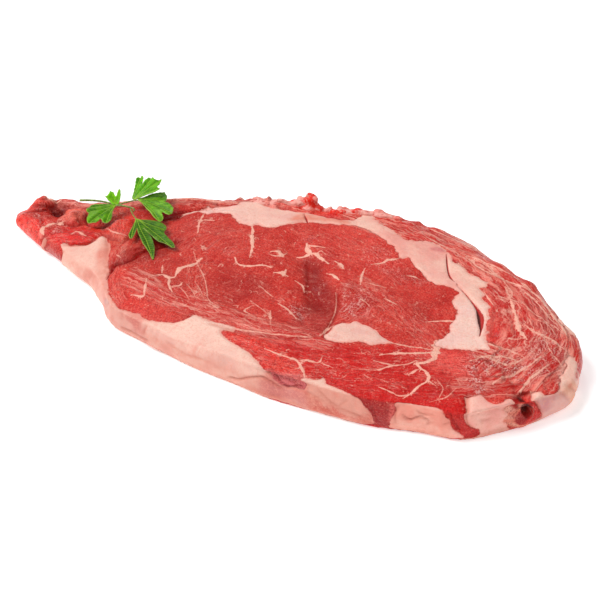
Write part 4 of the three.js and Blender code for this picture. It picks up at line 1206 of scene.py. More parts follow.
class Paint:
    """Builds one node material round a Principled shader."""

    def __init__(self, name):
        self.material = bpy.data.materials.new(name)
        self.material.use_nodes = True
        self.tree = self.material.node_tree
        self.shader = next(n for n in self.tree.nodes if n.type == "BSDF_PRINCIPLED")

    def fix(self, **numbers):
        """Sets the shader's own sockets, which hold what is the same all over."""
        for name, value in numbers.items():
            self.shader.inputs[name.replace("_", " ")].default_value = value

    def put(self, source, target):
        if isinstance(source, bpy.types.NodeSocket):
            self.tree.links.new(source, target)
        else:
            target.default_value = source

    def drive(self, name, source):
        self.put(source, self.shader.inputs[name])

    def node(self, kind, **settings):
        made = self.tree.nodes.new(kind)
        for key, value in settings.items():
            setattr(made, key, value)
        return made

    def place(self):
        return self.node("ShaderNodeTexCoord").outputs["Object"]

    def attribute(self, name, output="Vector"):
        return self.node("ShaderNodeAttribute", attribute_name=name).outputs[output]

    def parts(self, vector):
        made = self.node("ShaderNodeSeparateXYZ")
        self.put(vector, made.inputs[0])
        return tuple(made.outputs)

    def vector(self, x, y, z=0.0):
        made = self.node("ShaderNodeCombineXYZ")
        for value, socket in zip((x, y, z), made.inputs):
            self.put(value, socket)
        return made.outputs[0]

    def math(self, operation, a, b=0.0, c=0.0):
        made = self.node("ShaderNodeMath", operation=operation)
        for value, socket in zip((a, b, c), made.inputs):
            self.put(value, socket)
        return made.outputs[0]

    def times(self, share, *factors):
        for factor in factors:
            share = self.math("MULTIPLY", share, factor)
        return share

    def over(self, colour, value, low, high, shade, *shares):
        """A colour with a shade laid over it as a value goes from low to high."""
        return self.mix(self.times(self.ease(value, low, high), *shares), colour, shade)

    def traced(self, colour, noise, half, shade, *shares):
        """A colour with a shade along the thin lines where a noise passes its middle."""
        off = self.math("ABSOLUTE", self.math("SUBTRACT", noise, 0.5))
        return self.over(colour, off, half, half * 0.25, shade, *shares)

    def noise(self, vector, size, detail=2.0, rough=0.5, distortion=0.0):
        """Noise from 0 to 1 whose lumps are about size across, in the vector's own unit."""
        made = self.node("ShaderNodeTexNoise")
        self.put(vector, made.inputs["Vector"])
        made.inputs["Scale"].default_value = 1 / size
        made.inputs["Detail"].default_value = detail
        made.inputs["Roughness"].default_value = rough
        made.inputs["Distortion"].default_value = distortion
        return made.outputs[0]

    def cells(self, vector, size):
        made = self.node("ShaderNodeTexVoronoi")
        self.put(vector, made.inputs["Vector"])
        made.inputs["Scale"].default_value = 1 / size
        return made.outputs["Distance"]

    def ease(self, value, low, high):
        """0 at low, 1 at high."""
        made = self.node("ShaderNodeMapRange", interpolation_type="SMOOTHSTEP")
        for source, socket in zip((value, low, high, 0.0, 1.0), made.inputs):
            self.put(source, socket)
        return made.outputs[0]

    def mix(self, share, a, b, blend="MIX"):
        made = self.node("ShaderNodeMix", data_type="RGBA", blend_type=blend)
        sockets = [s for s in made.inputs if s.enabled]
        for source, socket in zip((share, a, b), sockets):
            if isinstance(source, tuple):
                source = (*source, 1.0)
            self.put(source, socket)
        return next(s for s in made.outputs if s.enabled)

    def bump(self, height, depth, strength=1.0):
        made = self.node("ShaderNodeBump")
        made.inputs["Strength"].default_value = strength
        made.inputs["Distance"].default_value = depth
        self.put(height, made.inputs["Height"])
        return made.outputs[0]


def meat_noises(paint):
    """What the shades and the bumps of the meat share."""
    place = paint.place()
    along, across, stringy = paint.parts(paint.attribute("grain"))
    # low is nearness to the floor, for the painted shade at the foot.
    tone, grit, low = paint.parts(paint.attribute("marks"))
    # deep is the painted shade of gaps and creases.
    fat_in, edge, deep = paint.parts(paint.attribute("parts"))
    waver = paint.noise(place, 2.6 * MM, 2)
    shifted = paint.math("MULTIPLY_ADD", waver, 2.2, across)
    in_grain = paint.vector(paint.math("MULTIPLY", along, 0.1), shifted)
    loosely = paint.vector(paint.math("MULTIPLY", along, 0.3), paint.math("MULTIPLY_ADD", waver, 1.4, across))
    return {
        "place": place, "stringy": stringy, "tone": tone, "grit": grit, "low": low, "fat_in": fat_in,
        "edge": edge, "deep": deep,
        "broad": paint.noise(place, 11 * MM, 4, 0.55),
        "middle": paint.noise(place, 3.0 * MM, 3, 0.6, 0.6),
        "fine": paint.noise(place, 1.0 * MM, 3, 0.65),
        "tiny": paint.noise(place, 0.6 * MM, 2, 0.6),
        "net": paint.noise(place, 2.3 * MM, 2, 0.5, 0.9),
        "threads": paint.noise(in_grain, 1.8, 3, 0.6),
        "wisps": paint.noise(in_grain, 0.6, 2, 0.6),
        "fibres": paint.noise(loosely, 0.9, 2, 0.6),
        "bundles": paint.noise(in_grain, 2.9, 2, 0.5, 0.5),
    }


def lean_shade(paint, look, tint):
    """Lean meat: its own shade, mottled, with bundles, fibres, and grit with painted glints drawn in it."""
    place = look["place"]
    threaded = paint.ease(look["stringy"], 0.0, 0.55)
    strong = paint.ease(look["stringy"], 0.4, 0.95)
    own_shade = paint.attribute("lean", "Color")
    lean = paint.mix(1.0, own_shade, tint, "MULTIPLY")
    lean = paint.mix(paint.ease(look["broad"], 0.56, 0.34), lean, (0.84, 0.62, 0.62), "MULTIPLY")
    _, green, _ = paint.parts(own_shade)
    kept = paint.math("MULTIPLY_ADD", paint.ease(green, 0.04, 0.008), 0.45, 0.4)  # most in the reddest meat
    lean = paint.over(lean, look["broad"], 0.5, 0.7, paint.mix(kept, linear(236, 92, 74), lean), 0.3)
    dark = linear(160, 16, 12)
    pale = paint.mix(kept, linear(244, 120, 102), lean)
    bright = paint.mix(kept, linear(246, 142, 120), lean)
    mottles = [
        ("middle", 0.48, 0.3, dark, 0.3),
        ("middle", 0.55, 0.75, pale, 0.14),
        ("fine", 0.47, 0.3, dark, 0.58),
        ("fine", 0.56, 0.72, pale, 0.36),
        ("tiny", 0.48, 0.36, dark, 0.54),
        ("tiny", 0.54, 0.66, bright, 0.52),
        ("fibres", 0.47, 0.34, dark, threaded, 0.55),
        ("fibres", 0.55, 0.68, bright, threaded, 0.46),
    ]
    for noise, *laid in mottles:
        lean = paint.over(lean, look[noise], *laid)
    netted = paint.ease(paint.noise(place, 7 * MM, 2), 0.42, 0.6)
    lean = paint.traced(lean, look["net"], 0.025, linear(242, 138, 120), netted, 0.35)
    seeded = paint.ease(paint.noise(place, 6 * MM, 2), 0.52, 0.62)
    lean = paint.over(lean, paint.cells(place, 1.3 * MM), 0.3, 0.14, linear(248, 170, 150), seeded, 0.5)

    lean = paint.over(lean, look["bundles"], 0.5, 0.4, linear(206, 22, 16), strong, 0.7)
    lean = paint.over(lean, look["bundles"], 0.56, 0.68, linear(244, 140, 122), strong, 0.5)
    lean = paint.traced(lean, look["bundles"], 0.035, linear(250, 176, 158), strong, 0.55)
    lean = paint.over(lean, look["threads"], 0.48, 0.36, linear(190, 16, 12), strong, 0.72)
    lean = paint.over(lean, look["threads"], 0.55, 0.64, linear(252, 154, 136), strong, 0.62)
    lean = paint.traced(lean, look["threads"], 0.02, linear(250, 180, 162), threaded, 0.3)
    lean = paint.over(lean, look["wisps"], 0.58, 0.7, linear(252, 182, 164), strong, 0.4)

    # Painted glints: white specks in the gritty meat.
    specks = paint.math("MULTIPLY_ADD", look["tiny"], 0.6, paint.math("MULTIPLY", look["fibres"], 0.4))
    gritty = paint.over(linear(188, 24, 20), specks, 0.48, 0.56, linear(255, 206, 196))
    return paint.over(lean, look["middle"], 0.4, 0.62, gritty, look["grit"], 0.75)


def fat_shade(paint, look, border, tint):
    """Fat: cream, mottled pink, with faint threads, a blush along its border, a painted highlight along the
    crest and painted shade at the foot.
    """
    place, middle = look["place"], look["middle"]
    fat = paint.mix(1.0, paint.attribute("fat", "Color"), tint, "MULTIPLY")
    # Painted highlight: a lighter line along the crest where the face meets the cut edge.
    crest_highlight = paint.times(paint.ease(look["edge"], 0.15, 0.45), paint.ease(look["edge"], 0.85, 0.5))
    fat = paint.over(fat, middle, 0.4, 0.6, linear(248, 200, 182), crest_highlight, 0.45)
    fat = paint.over(fat, middle, 0.52, 0.76, linear(240, 160, 142), 0.35)
    fat = paint.over(fat, look["broad"], 0.6, 0.4, linear(255, 216, 196), 0.35)
    fat = paint.over(fat, paint.noise(place, 6 * MM, 4, 0.65, 1.5), 0.58, 0.7, linear(232, 132, 116), 0.3)
    fat = paint.traced(fat, paint.noise(place, 5 * MM, 2, 0.5, 1.2), 0.012, linear(226, 138, 116), 0.3)
    fat = paint.over(fat, look["fine"], 0.46, 0.3, linear(232, 162, 140), 0.4)
    fat = paint.over(fat, look["tiny"], 0.47, 0.35, linear(238, 160, 140), 0.45)
    # Painted shade: the fat darkens and turns pinker towards the foot, with a painted contact shadow at the
    # very bottom.
    fat = paint.mix(paint.times(look["low"], 0.5), fat, linear(222, 132, 110))
    fat = paint.over(fat, look["low"], 0.93, 1.0, linear(172, 96, 84), 0.5)
    return paint.over(fat, border, 1.1, 0.1, linear(240, 142, 126), 0.45)


def fat_border(paint, look):
    """Signed distance into the fat, its line roughened and frayed along the grain."""
    place = look["place"]
    coarse = paint.math("SUBTRACT", paint.noise(place, 2.6 * MM, 2), 0.5)
    small = paint.math("SUBTRACT", look["fine"], 0.5)
    frayed = paint.times(paint.math("SUBTRACT", look["threads"], 0.5), look["stringy"])
    border = paint.math("MULTIPLY_ADD", coarse, 1.6, look["fat_in"])
    border = paint.math("MULTIPLY_ADD", small, 0.75, border)
    return paint.math("MULTIPLY_ADD", frayed, 2.0, border)


def stroke_share(paint, look, name, waver, soft, uneven=0.0):
    """How much of a vein or a cut covers each point."""
    offset, distance, half = paint.parts(paint.attribute(name))
    wavering = paint.math("MULTIPLY", paint.math("SUBTRACT", look["fine"], 0.5), waver)
    swing = paint.math("MULTIPLY_ADD", paint.math("SUBTRACT", look["middle"], 0.5), uneven, 1.0)
    width = paint.math("MULTIPLY_ADD", half, swing, wavering)
    line = paint.ease(paint.math("SUBTRACT", paint.math("ABSOLUTE", offset), width), soft, -soft)
    gate = paint.ease(paint.math("SUBTRACT", distance, half), 0.9, 0.45)
    return paint.math("MULTIPLY", line, gate)


def meat_material(sizes):
    """Lean and fat of one cut: the mesh says where each lies, the nodes give its grain."""
    paint = Paint("raw beef")
    look = meat_noises(paint)
    border = fat_border(paint, look)
    fat_share = paint.ease(border, -0.3, 0.22)
    lean = lean_shade(paint, look, tuple(sizes.lean_tint))
    # Painted shade in gaps and creases: the lean darkens to deep red.
    lean = paint.mix(paint.times(look["deep"], 0.8), lean, linear(150, 10, 6))
    vein = paint.times(stroke_share(paint, look, "veins", 0.45, 0.14, 3.4), look["tone"])
    vein_shade = paint.mix(look["middle"], linear(246, 166, 146), linear(254, 196, 174))
    colour = paint.mix(vein, lean, vein_shade)
    fat = fat_shade(paint, look, border, tuple(sizes.fat_tint))
    # Painted shade in gaps and creases, on the fat.
    fat = paint.mix(paint.times(look["deep"], 0.7), fat, linear(200, 96, 74))
    colour = paint.mix(fat_share, colour, fat)
    # Painted shade in the gaping cuts: near black on the shaded side, deep red on the rest.
    cut = stroke_share(paint, look, "cuts", 0.25, 0.14)
    offset, _, _ = paint.parts(paint.attribute("cuts"))
    core = paint.over(linear(64, 2, 0), offset, -0.4, 0.3, linear(186, 12, 8))
    paint.drive("Base Color", paint.mix(paint.times(cut, 0.96), colour, core))

    wet = paint.ease(paint.noise(look["place"], 5 * MM, 2), 0.42, 0.62)
    rough = paint.math("MULTIPLY_ADD", fat_share, 0.12, 0.4)
    rough = paint.math("MULTIPLY_ADD", wet, -0.12, rough)
    rough = paint.math("MULTIPLY_ADD", look["grit"], -0.1, rough)
    paint.drive("Roughness", rough)
    height = paint.math("MULTIPLY_ADD", look["fine"], 1.0, paint.math("MULTIPLY", look["tiny"], 0.5))
    strings = paint.math("MULTIPLY", look["threads"], look["stringy"])
    height = paint.math("MULTIPLY_ADD", strings, 1.6, height)
    height = paint.math("MULTIPLY_ADD", look["middle"], 0.9, height)
    height = paint.math("MULTIPLY_ADD", paint.times(look["fine"], look["grit"]), 1.6, height)
    calm = paint.math("MULTIPLY_ADD", fat_share, -0.65, 1.0)
    paint.drive("Normal", paint.bump(paint.math("MULTIPLY", height, calm), 0.45 * MM, 0.9))
    paint.fix(Specular_IOR_Level=0.22, Coat_Weight=0.04, Coat_Roughness=0.2)
    paint.fix(Subsurface_Weight=0.08, Subsurface_Radius=(1.0, 0.35, 0.25), Subsurface_Scale=0.7 * MM)
    return paint.material


def shred_material():
    """Torn meat: bright red to pale pink, ragged and wet."""
    paint = Paint("torn beef")
    place = paint.place()
    red = paint.attribute("red", "Fac")
    lumps = paint.noise(place, 2.2 * MM, 3, 0.6, 0.5)
    fine = paint.noise(place, 0.8 * MM, 3, 0.65)
    base = paint.over(linear(244, 168, 156), red, 0.25, 0.8, linear(236, 44, 26))
    base = paint.over(base, lumps, 0.54, 0.7, linear(250, 190, 174), 0.6)
    base = paint.over(base, lumps, 0.47, 0.34, linear(206, 40, 32), 0.6)
    base = paint.over(base, fine, 0.54, 0.74, linear(252, 196, 178), 0.4)
    paint.drive("Base Color", base)
    paint.drive("Roughness", paint.math("MULTIPLY_ADD", fine, 0.2, 0.25))
    paint.drive("Normal", paint.bump(paint.math("MULTIPLY_ADD", fine, 0.6, lumps), 0.4 * MM, 0.8))
    paint.fix(Specular_IOR_Level=0.25)
    return paint.material


def leaf_material(sizes):
    """Flat parsley: blade with painted crease shade beside the ribs, pale ribs and pale margin, laid out by
    each rib's own map.
    """
    paint = Paint("parsley leaf")
    place = paint.place()
    across, along, _ = paint.parts(paint.node("ShaderNodeUVMap", uv_map="Ribs").outputs[0])
    margin = paint.attribute("margin", "Fac")
    reach = paint.math("ABSOLUTE", across)
    mottle = paint.noise(place, 2.6 * MM, 3)
    grain = paint.noise(place, 0.55 * MM, 2)
    blade = paint.over(tuple(sizes.leaf_colour), mottle, 0.38, 0.62, linear(60, 132, 4))
    blade = paint.over(blade, paint.noise(place, 4.5 * MM, 2, 0.5), 0.48, 0.64, linear(130, 196, 66), 0.5)
    blade = paint.over(blade, grain, 0.5, 0.72, linear(158, 214, 50), 0.4)
    # Painted crease shade: the blade darkens beside each rib.
    blade = paint.over(blade, reach, 1.5, 0.3, linear(46, 112, 6), 0.5)
    blade = paint.mix(1.0, blade, paint.attribute("tint"), "MULTIPLY")
    side = paint.math("PINGPONG", paint.math("MULTIPLY_ADD", reach, -0.9, along), 0.75)
    ribs = paint.math("MULTIPLY", paint.ease(side, 0.14, 0.03), 0.45)
    ribs = paint.math("MAXIMUM", ribs, paint.times(paint.ease(reach, 0.2, 0.07), 0.85))
    colour = paint.mix(ribs, blade, linear(162, 208, 52))
    paint.drive("Base Color", paint.over(colour, margin, 0.24, 0.06, linear(200, 216, 112), 0.42))
    paint.drive("Roughness", paint.math("MULTIPLY_ADD", mottle, 0.2, 0.28))
    relief = paint.math("MULTIPLY_ADD", grain, 0.3, paint.math("MULTIPLY", ribs, -1.0))
    paint.drive("Normal", paint.bump(relief, 0.2 * MM, 0.8))
    paint.fix(Specular_IOR_Level=0.2, Subsurface_Weight=0.2, Subsurface_Radius=(0.4, 1.0, 0.1))
    paint.fix(Subsurface_Scale=0.6 * MM)
    return paint.material


def stalk_material():
    paint = Paint("parsley stalk")
    place = paint.place()
    fibres = paint.noise(place, 0.7 * MM, 3)
    paint.drive("Base Color", paint.over(linear(96, 124, 42), fibres, 0.35, 0.65, linear(156, 180, 92)))
    paint.drive("Roughness", paint.math("MULTIPLY_ADD", fibres, 0.2, 0.35))
    paint.fix(Specular_IOR_Level=0.4, Subsurface_Weight=0.2, Subsurface_Radius=(0.5, 1.0, 0.2))
    paint.fix(Subsurface_Scale=0.6 * MM)
    return paint.material


def floor_material():
    paint = Paint("pale floor")
    mottle = paint.noise(paint.place(), 0.4, 2)
    paint.drive("Base Color", paint.mix(mottle, (0.86, 0.86, 0.86), (0.88, 0.88, 0.88)))
    paint.fix(Roughness=0.9, Specular_IOR_Level=0.05)
    paint.fix(Emission_Color=(1, 1, 1, 1), Emission_Strength=0.44)
    return paint.material


# ---- Parsley ----

STALKS = [  # points, and radius
    ([(-93.2, 26, 13.2), (-87.8, 27.1, 13.6), (-81.9, 27, 14), (-75.9, 25, 14.6)], 0.42),
    ([(-76.2, 25, 14.6), (-75.1, 26.3, 14.8), (-72.6, 28.4, 15.1), (-70.9, 29.6, 15.4),
     (-68.8, 29.9, 15.8)], 0.3),
    ([(-76.2, 25, 14.6), (-73.6, 25, 15), (-70.9, 24.8, 15.1), (-67.9, 24.2, 15),
     (-67.4, 22.4, 14.9)], 0.36),
    ([(-69.2, 23.6, 15), (-66.4, 20, 14.9), (-63.4, 17, 15)], 0.24),
]
# Each leaflet lies by its foot, heading and lift in degrees, and droop. Its outline and ribs are given
# as the run from the foot and the offset to the left.
LEAFLETS = [
    {
        "foot": (-76.1, 25.3, 14.6), "heading": 115, "lift": 50, "droop": 0.4, "tint": (2.4, 2.2, 1.1),
        "outline": [
            (0.1, 1.2), (1, 2.3), (2, 3.3), (3, 4), (3.9, 4.5), (4.1, 3.6), (5, 3), (5.9, 2.4), (5.6, 1.5),
            (4.8, 0.9), (3.6, 0.4), (4.1, -0.1), (5.5, -0.5), (6.8, -1.3), (5.7, -1.7), (3.9, -1.7),
            (2, -1.3), (0.4, -0.6),
        ],
        "ribs": [
            [(0, 0.2), (2, 2), (3.7, 4.1)], [(0, 0.2), (3, 1.2), (5.6, 2.1)], [(0, 0.2), (3.4, -0.7),
            (6.5, -1.2)],
        ],
    },
    {
        "foot": (-76.4, 25.2, 14.6), "heading": 232, "lift": -2, "droop": 0.5, "tint": (0.96, 0.84, 0.6),
        "outline": [
            (1, -0.7), (2.5, -2.3), (5.3, -3.9), (7.5, -4.8), (9.3, -4.7), (11, -3.4), (11.9, -2.7),
            (11.8, -0.8), (12.7, 1.1), (14.3, 2.8), (15, 5.7), (13.9, 6.8), (12.1, 7.5), (10.1, 6.7),
            (10.2, 9), (9.2, 10.1), (7.6, 9.9), (5.5, 7.5), (3.6, 4.1), (1.6, 1.7), (0.2, 0.3),
        ],
        "ribs": [
            [(0, 0), (5, -2.4), (9.6, -4)], [(0, 0), (6, 0), (11.5, -1.4)], [(0, 0), (7, 2.4), (14.2, 5.4)],
            [(0, 0), (4.6, 4), (9, 9.4)],
        ],
    },
    {
        "foot": (-71.2, 29.6, 15.2), "heading": 75, "lift": 30, "droop": 0.6, "tint": (1.12, 1.22, 0.6),
        "outline": [
            (0.8, 0.6), (3.9, 2), (7.1, 3.4), (9.6, 4.6), (10.6, 4.4), (10.9, 3.5), (11.8, 3.4),
            (11.9, 2.5), (10.8, 1.6), (8.6, 0.3), (10, 0.5), (11.2, 0.1), (12.2, -0.5), (12.3, -1.5),
            (13.1, -1.8), (12.4, -3.1), (12.6, -4.6), (13.6, -5.5), (12.6, -6.4), (10.9, -6.9), (9.5, -6.7),
            (9.4, -8), (8.1, -7.8), (6.8, -7), (5, -4.8), (2.8, -2.6), (1.1, -1.1),
        ],
        "ribs": [
            [(0, 0), (5, 1.6), (11, 3.4)], [(0, 0), (6, -1), (12.4, -1.6)], [(0, 0), (6, -2.6), (13, -5.4)],
            [(0, 0), (4.6, -3.4), (9, -7.4)],
        ],
    },
    {
        "foot": (-69.4, 30.4, 15.9), "heading": 0, "lift": 0, "droop": 0.8, "tint": (1.26, 1.0, 1.5),
        "outline": [
            (0.4, 0.6), (2.2, 2.7), (4.3, 5.8), (6.5, 7.9), (8.2, 8.9), (9.3, 7.2), (10.7, 5.7),
            (11.3, 3.5), (10.9, 1.4), (12.9, 1.1), (15.1, -0.3), (17.1, -2.5), (17.7, -5.2), (17.1, -7.2),
            (15, -6.7), (13.9, -6.6), (15.4, -8.8), (16.4, -11), (16.1, -12.8), (14.3, -11.7), (11.5, -9.9),
            (8, -6.9), (4.9, -4), (2.4, -1.6), (0.4, -0.3),
        ],
        "ribs": [
            [(0, 0), (4, 3.6), (8, 8.2)], [(0, 0), (6, 1.6), (11, 3)], [(0, 0), (8, -1.6), (17.2, -5)],
            [(0, 0), (8, -5), (15.8, -12)],
        ],
    },
    {
        "foot": (-63.8, 17.7, 15.1), "heading": 300, "lift": 0, "droop": 1.0, "tint": (0.5, 0.46, 0.06),
        "outline": [
            (0.3, -0.3), (2, -0.7), (6.5, -2.1), (10.3, -3.3), (13.8, -4.1), (15.4, -3.4), (14, -2.3),
            (11.4, -1.3), (8.7, -0.5), (11.6, -0.4), (15.5, 0.1), (19.5, 0.7), (23.4, 1.7), (27, 2.7),
            (31, 3.7), (27.7, 4.4), (24, 4.9), (19.4, 4.8), (15.4, 4), (11.7, 2.9), (9.3, 2), (12.7, 3.4),
            (16.4, 5), (19.3, 6.7), (21.4, 9.2), (23.6, 10.9), (25, 12.5), (20.7, 12.1), (17.7, 10.7),
            (14.9, 9.7), (12.3, 9.9), (10.1, 10.9), (6.6, 9.7), (4.7, 8.1), (3.3, 5.9), (2.4, 3.2),
            (1.2, 0.8),
        ],
        "ribs": [
            [(0, 0), (7, -1.6), (14.8, -3.3)], [(0, 0), (9, 0.8), (18, 2.4), (30, 3.6)], [(0, 0), (8, 3.6),
            (16, 7.6), (24, 11.6)], [(0, 0), (5, 3.6), (11, 10)],
        ],
    },
]
LEAF_CELL = 0.36
LEAF_PUCKER = 0.8  # how far the blade bulges between its ribs
TOOTH = 0.16
TEETH = 1.9  # how closely the margin's teeth follow one another


def leaflet_outline(corners):
    """A leaflet's outline with its small teeth."""
    line = curve_through(corners, closed=True, step=0.3)
    tangent = np.roll(line, -1, 0) - np.roll(line, 1, 0)
    outward = np.column_stack([tangent[:, 1], -tangent[:, 0]])
    outward /= np.maximum(np.linalg.norm(outward, axis=1), 1e-6)[:, None]
    run = np.linalg.norm(np.roll(line, -1, 0) - line, axis=1).cumsum()
    toothed = smooth(2.5, 5, np.linalg.norm(line, axis=1)) * TOOTH
    return line + outward * (toothed * np.abs(np.sin(run * TEETH)) - toothed / 2)[:, None]


def leaflet_fields(points, leaflet, outline):
    """Offset from the nearest rib, run along it, and distance in from the margin."""
    best = np.full(len(points), np.inf)
    across, along = np.zeros(len(points)), np.zeros(len(points))
    for rib in leaflet["ribs"]:
        distance, side, run = follow(points, curve_through(rib, step=0.6))
        nearer = distance < best
        best = np.where(nearer, distance, best)
        across = np.where(nearer, np.sign(side) * distance, across)
        along = np.where(nearer, run, along)
    return across, along, np.maximum(depth_inside(points, outline, 6), 0)


def build_leaflet(leaflet, index):
    """One leaflet: its outline filled with triangles, puckered between the ribs, curled at the margin."""
    outline = leaflet_outline(leaflet["outline"])
    lattice = triangle_lattice(outline.min(0), outline.max(0), LEAF_CELL)
    lattice = lattice[depth_inside(lattice, outline, 1) > 0.2]
    seeds = [Vector(p) for p in np.vstack([outline, lattice])]
    ring = [(i, (i + 1) % len(outline)) for i in range(len(outline))]
    flat, _, faces, *_ = delaunay_2d_cdt(seeds, ring, [], 1, 1e-5)
    plan = np.array([(p.x, p.y) for p in flat])
    across, along, margin = leaflet_fields(plan, leaflet, outline)
    reach = np.linalg.norm(plan, axis=1)
    share = reach / reach.max()
    z = LEAF_PUCKER * smooth(0, 1.5, np.abs(across)) * share**0.5
    z += 0.55 * cloud(plan, 3.4, index + 20) * smooth(2.2, 0, margin) * share
    z += 0.5 * cloud(plan, 6, index + 30) * share - leaflet["droop"] * share**2
    turn = Matrix.Rotation(math.radians(leaflet["heading"]), 3, "Z")
    turn = turn @ Matrix.Rotation(math.radians(-leaflet["lift"]), 3, "Y")
    foot = Vector(leaflet["foot"])
    mesh = bmesh.new()
    uv = mesh.loops.layers.uv.new("Ribs")
    verts = [mesh.verts.new((turn @ Vector((*p, h)) + foot) * MM) for p, h in zip(plan, z)]
    for corners in faces:
        face = mesh.faces.new([verts[i] for i in corners])
        for loop, i in zip(face.loops, corners):
            loop[uv].uv = (across[i], along[i])
    data = bpy.data.meshes.new(f"leaflet_{index}")
    mesh.to_mesh(data)
    mesh.free()
    write_attribute(data, "margin", "FLOAT", margin)
    write_attribute(data, "tint", "FLOAT_VECTOR", np.tile(leaflet["tint"], (len(plan), 1)))
    return add_object(data.name, data)


def join_as(objects, name):
    bpy.ops.object.select_all(action="DESELECT")
    for obj in objects:
        obj.select_set(True)
    bpy.context.view_layer.objects.active = objects[0]
    bpy.ops.object.join()
    joined = bpy.context.view_layer.objects.active
    joined.name = joined.data.name = name
    return joined


def build_leaves(sizes):
    leaves = join_as([build_leaflet(leaflet, i) for i, leaflet in enumerate(LEAFLETS)], "parsley_leaves")
    apply_modifier(leaves, "Thickness", "SOLIDIFY", thickness=sizes.leaf_thickness, offset=0.0)
    surface(leaves, leaf_material(sizes))
    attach(leaves, "root")
    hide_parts("parsley_sprig")


def build_stalk(points, radius, name):
    """A round stalk along a smooth curve, thicker at its foot."""
    bpy.ops.object.select_all(action="DESELECT")
    bpy.ops.curve.primitive_nurbs_path_add(location=(0, 0, 0))
    obj = bpy.context.active_object
    obj.name = name
    curve = obj.data
    curve.splines.clear()
    line = curve_through(points, step=1.2)
    spline = curve.splines.new("POLY")
    spline.points.add(len(line) - 1)
    for i, p in enumerate(line):
        spline.points[i].co = (*(p * MM), 1)
        spline.points[i].radius = 1.15 - 0.35 * i / (len(line) - 1)
    curve.dimensions = "3D"
    curve.bevel_depth = radius * MM
    curve.bevel_resolution = 3
    curve.use_fill_caps = True
    select_only(obj)
    bpy.ops.object.convert(target="MESH")
    return bpy.context.active_object


def build_stalks(sizes):
    stalks = [build_stalk(points, radius, f"stalk_{i}") for i, (points, radius) in enumerate(STALKS)]
    stalks = join_as(stalks, "parsley_stalks")
    surface(stalks, stalk_material())
    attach(stalks, "root")
    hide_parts("parsley_sprig")


# ---- Stage ----

CAMERA_PLACE = (0.17357, -0.44504, 0.31153)
CAMERA_AIM = (0.0095, 0.00575, 0)
SENSOR = 36
LAMPS = {  # which way each lies, and how widely it is spread in degrees
    "key": ((-0.6, -0.165, 0.78), 30),
    "side": ((0.577, -0.269, 0.77), 60),
    "glint": ((-0.35, 0.6, 0.72), 8),
}


def build_floor(size):
    bpy.ops.object.select_all(action="DESELECT")
    bpy.ops.mesh.primitive_plane_add(size=size, location=(0, 0, 0))
    floor = bpy.context.active_object
    floor.name = "floor"
    floor.data.materials.append(floor_material())


def build_sun(name, towards, strength, spread):
    """A broad lamp far off in a direction, spread over an angle in degrees."""
    light = bpy.data.lights.new(name, "SUN")
    light.energy = strength
    light.angle = math.radians(spread)
    obj = add_object(name, light)
    obj.location = Vector(towards)
    obj.rotation_euler = (-Vector(towards)).to_track_quat("-Z", "Y").to_euler()


def build_world(fill):
    """A white backdrop that lights the scene more faintly than it shows."""
    world = bpy.data.worlds.new("studio")
    world.use_nodes = True
    nodes, links = world.node_tree.nodes, world.node_tree.links
    background = next(n for n in nodes if n.type == "BACKGROUND")
    background.inputs["Color"].default_value = (1, 1, 1, 1)
    shown = nodes.new("ShaderNodeLightPath").outputs["Is Camera Ray"]
    strength = nodes.new("ShaderNodeMapRange")
    strength.inputs["To Min"].default_value = fill
    strength.inputs["To Max"].default_value = 1.0
    links.new(shown, strength.inputs["Value"])
    links.new(strength.outputs[0], background.inputs["Strength"])
    bpy.context.scene.world = world


def build_camera(lens):
    data = bpy.data.cameras.new("camera")
    data.lens = lens
    data.sensor_width = SENSOR
    camera = add_object("camera", data)
    camera.location = CAMERA_PLACE
    camera.rotation_euler = (Vector(CAMERA_AIM) - camera.location).to_track_quat("-Z", "Y").to_euler()
    bpy.context.scene.camera = camera


# ---- The add-on ----


class RibeyeSteakSettings(bpy.types.PropertyGroup):
    cell: bpy.props.FloatProperty(
        name="Mesh cell", description="Size of the mesh's squares on the face and edge",
        default=0.62 * MM, min=0.4 * MM, max=3 * MM, precision=5, unit="LENGTH")
    under_cell: bpy.props.FloatProperty(
        name="Underside cell", description="Size of the mesh's triangles on the flat underside",
        default=1.3 * MM, min=0.8 * MM, max=6 * MM, precision=5, unit="LENGTH")
    shred_cell: bpy.props.FloatProperty(
        name="Shred cell", description="Size of the mesh's squares on the torn back rim",
        default=0.36 * MM, min=0.2 * MM, max=2 * MM, precision=5, unit="LENGTH")
    relief: bpy.props.FloatProperty(
        name="Relief", description="Height of folds, fibres and seams; one millimetre is as cut",
        default=1.0 * MM, min=0, max=3 * MM, precision=5, unit="LENGTH")
    lean_tint: bpy.props.FloatVectorProperty(
        name="Lean tint", description="Tint over the shades of the lean meat",
        default=(1.12, 0.62, 0.6), min=0, max=2, size=3, subtype="COLOR")
    fat_tint: bpy.props.FloatVectorProperty(
        name="Fat tint", description="Tint over the shades of the fat",
        default=(0.92, 0.86, 0.87), min=0, max=2, size=3, subtype="COLOR")


class RibeyeSprigSettings(bpy.types.PropertyGroup):
    leaf_thickness: bpy.props.FloatProperty(
        name="Leaf thickness", description="Thickness of a leaflet",
        default=0.28 * MM, min=0.1 * MM, max=1 * MM, precision=5, unit="LENGTH")
    leaf_colour: bpy.props.FloatVectorProperty(
        name="Leaf colour", description="Green of the blades",
        default=linear(106, 188, 16), min=0, max=1, size=3, subtype="COLOR")


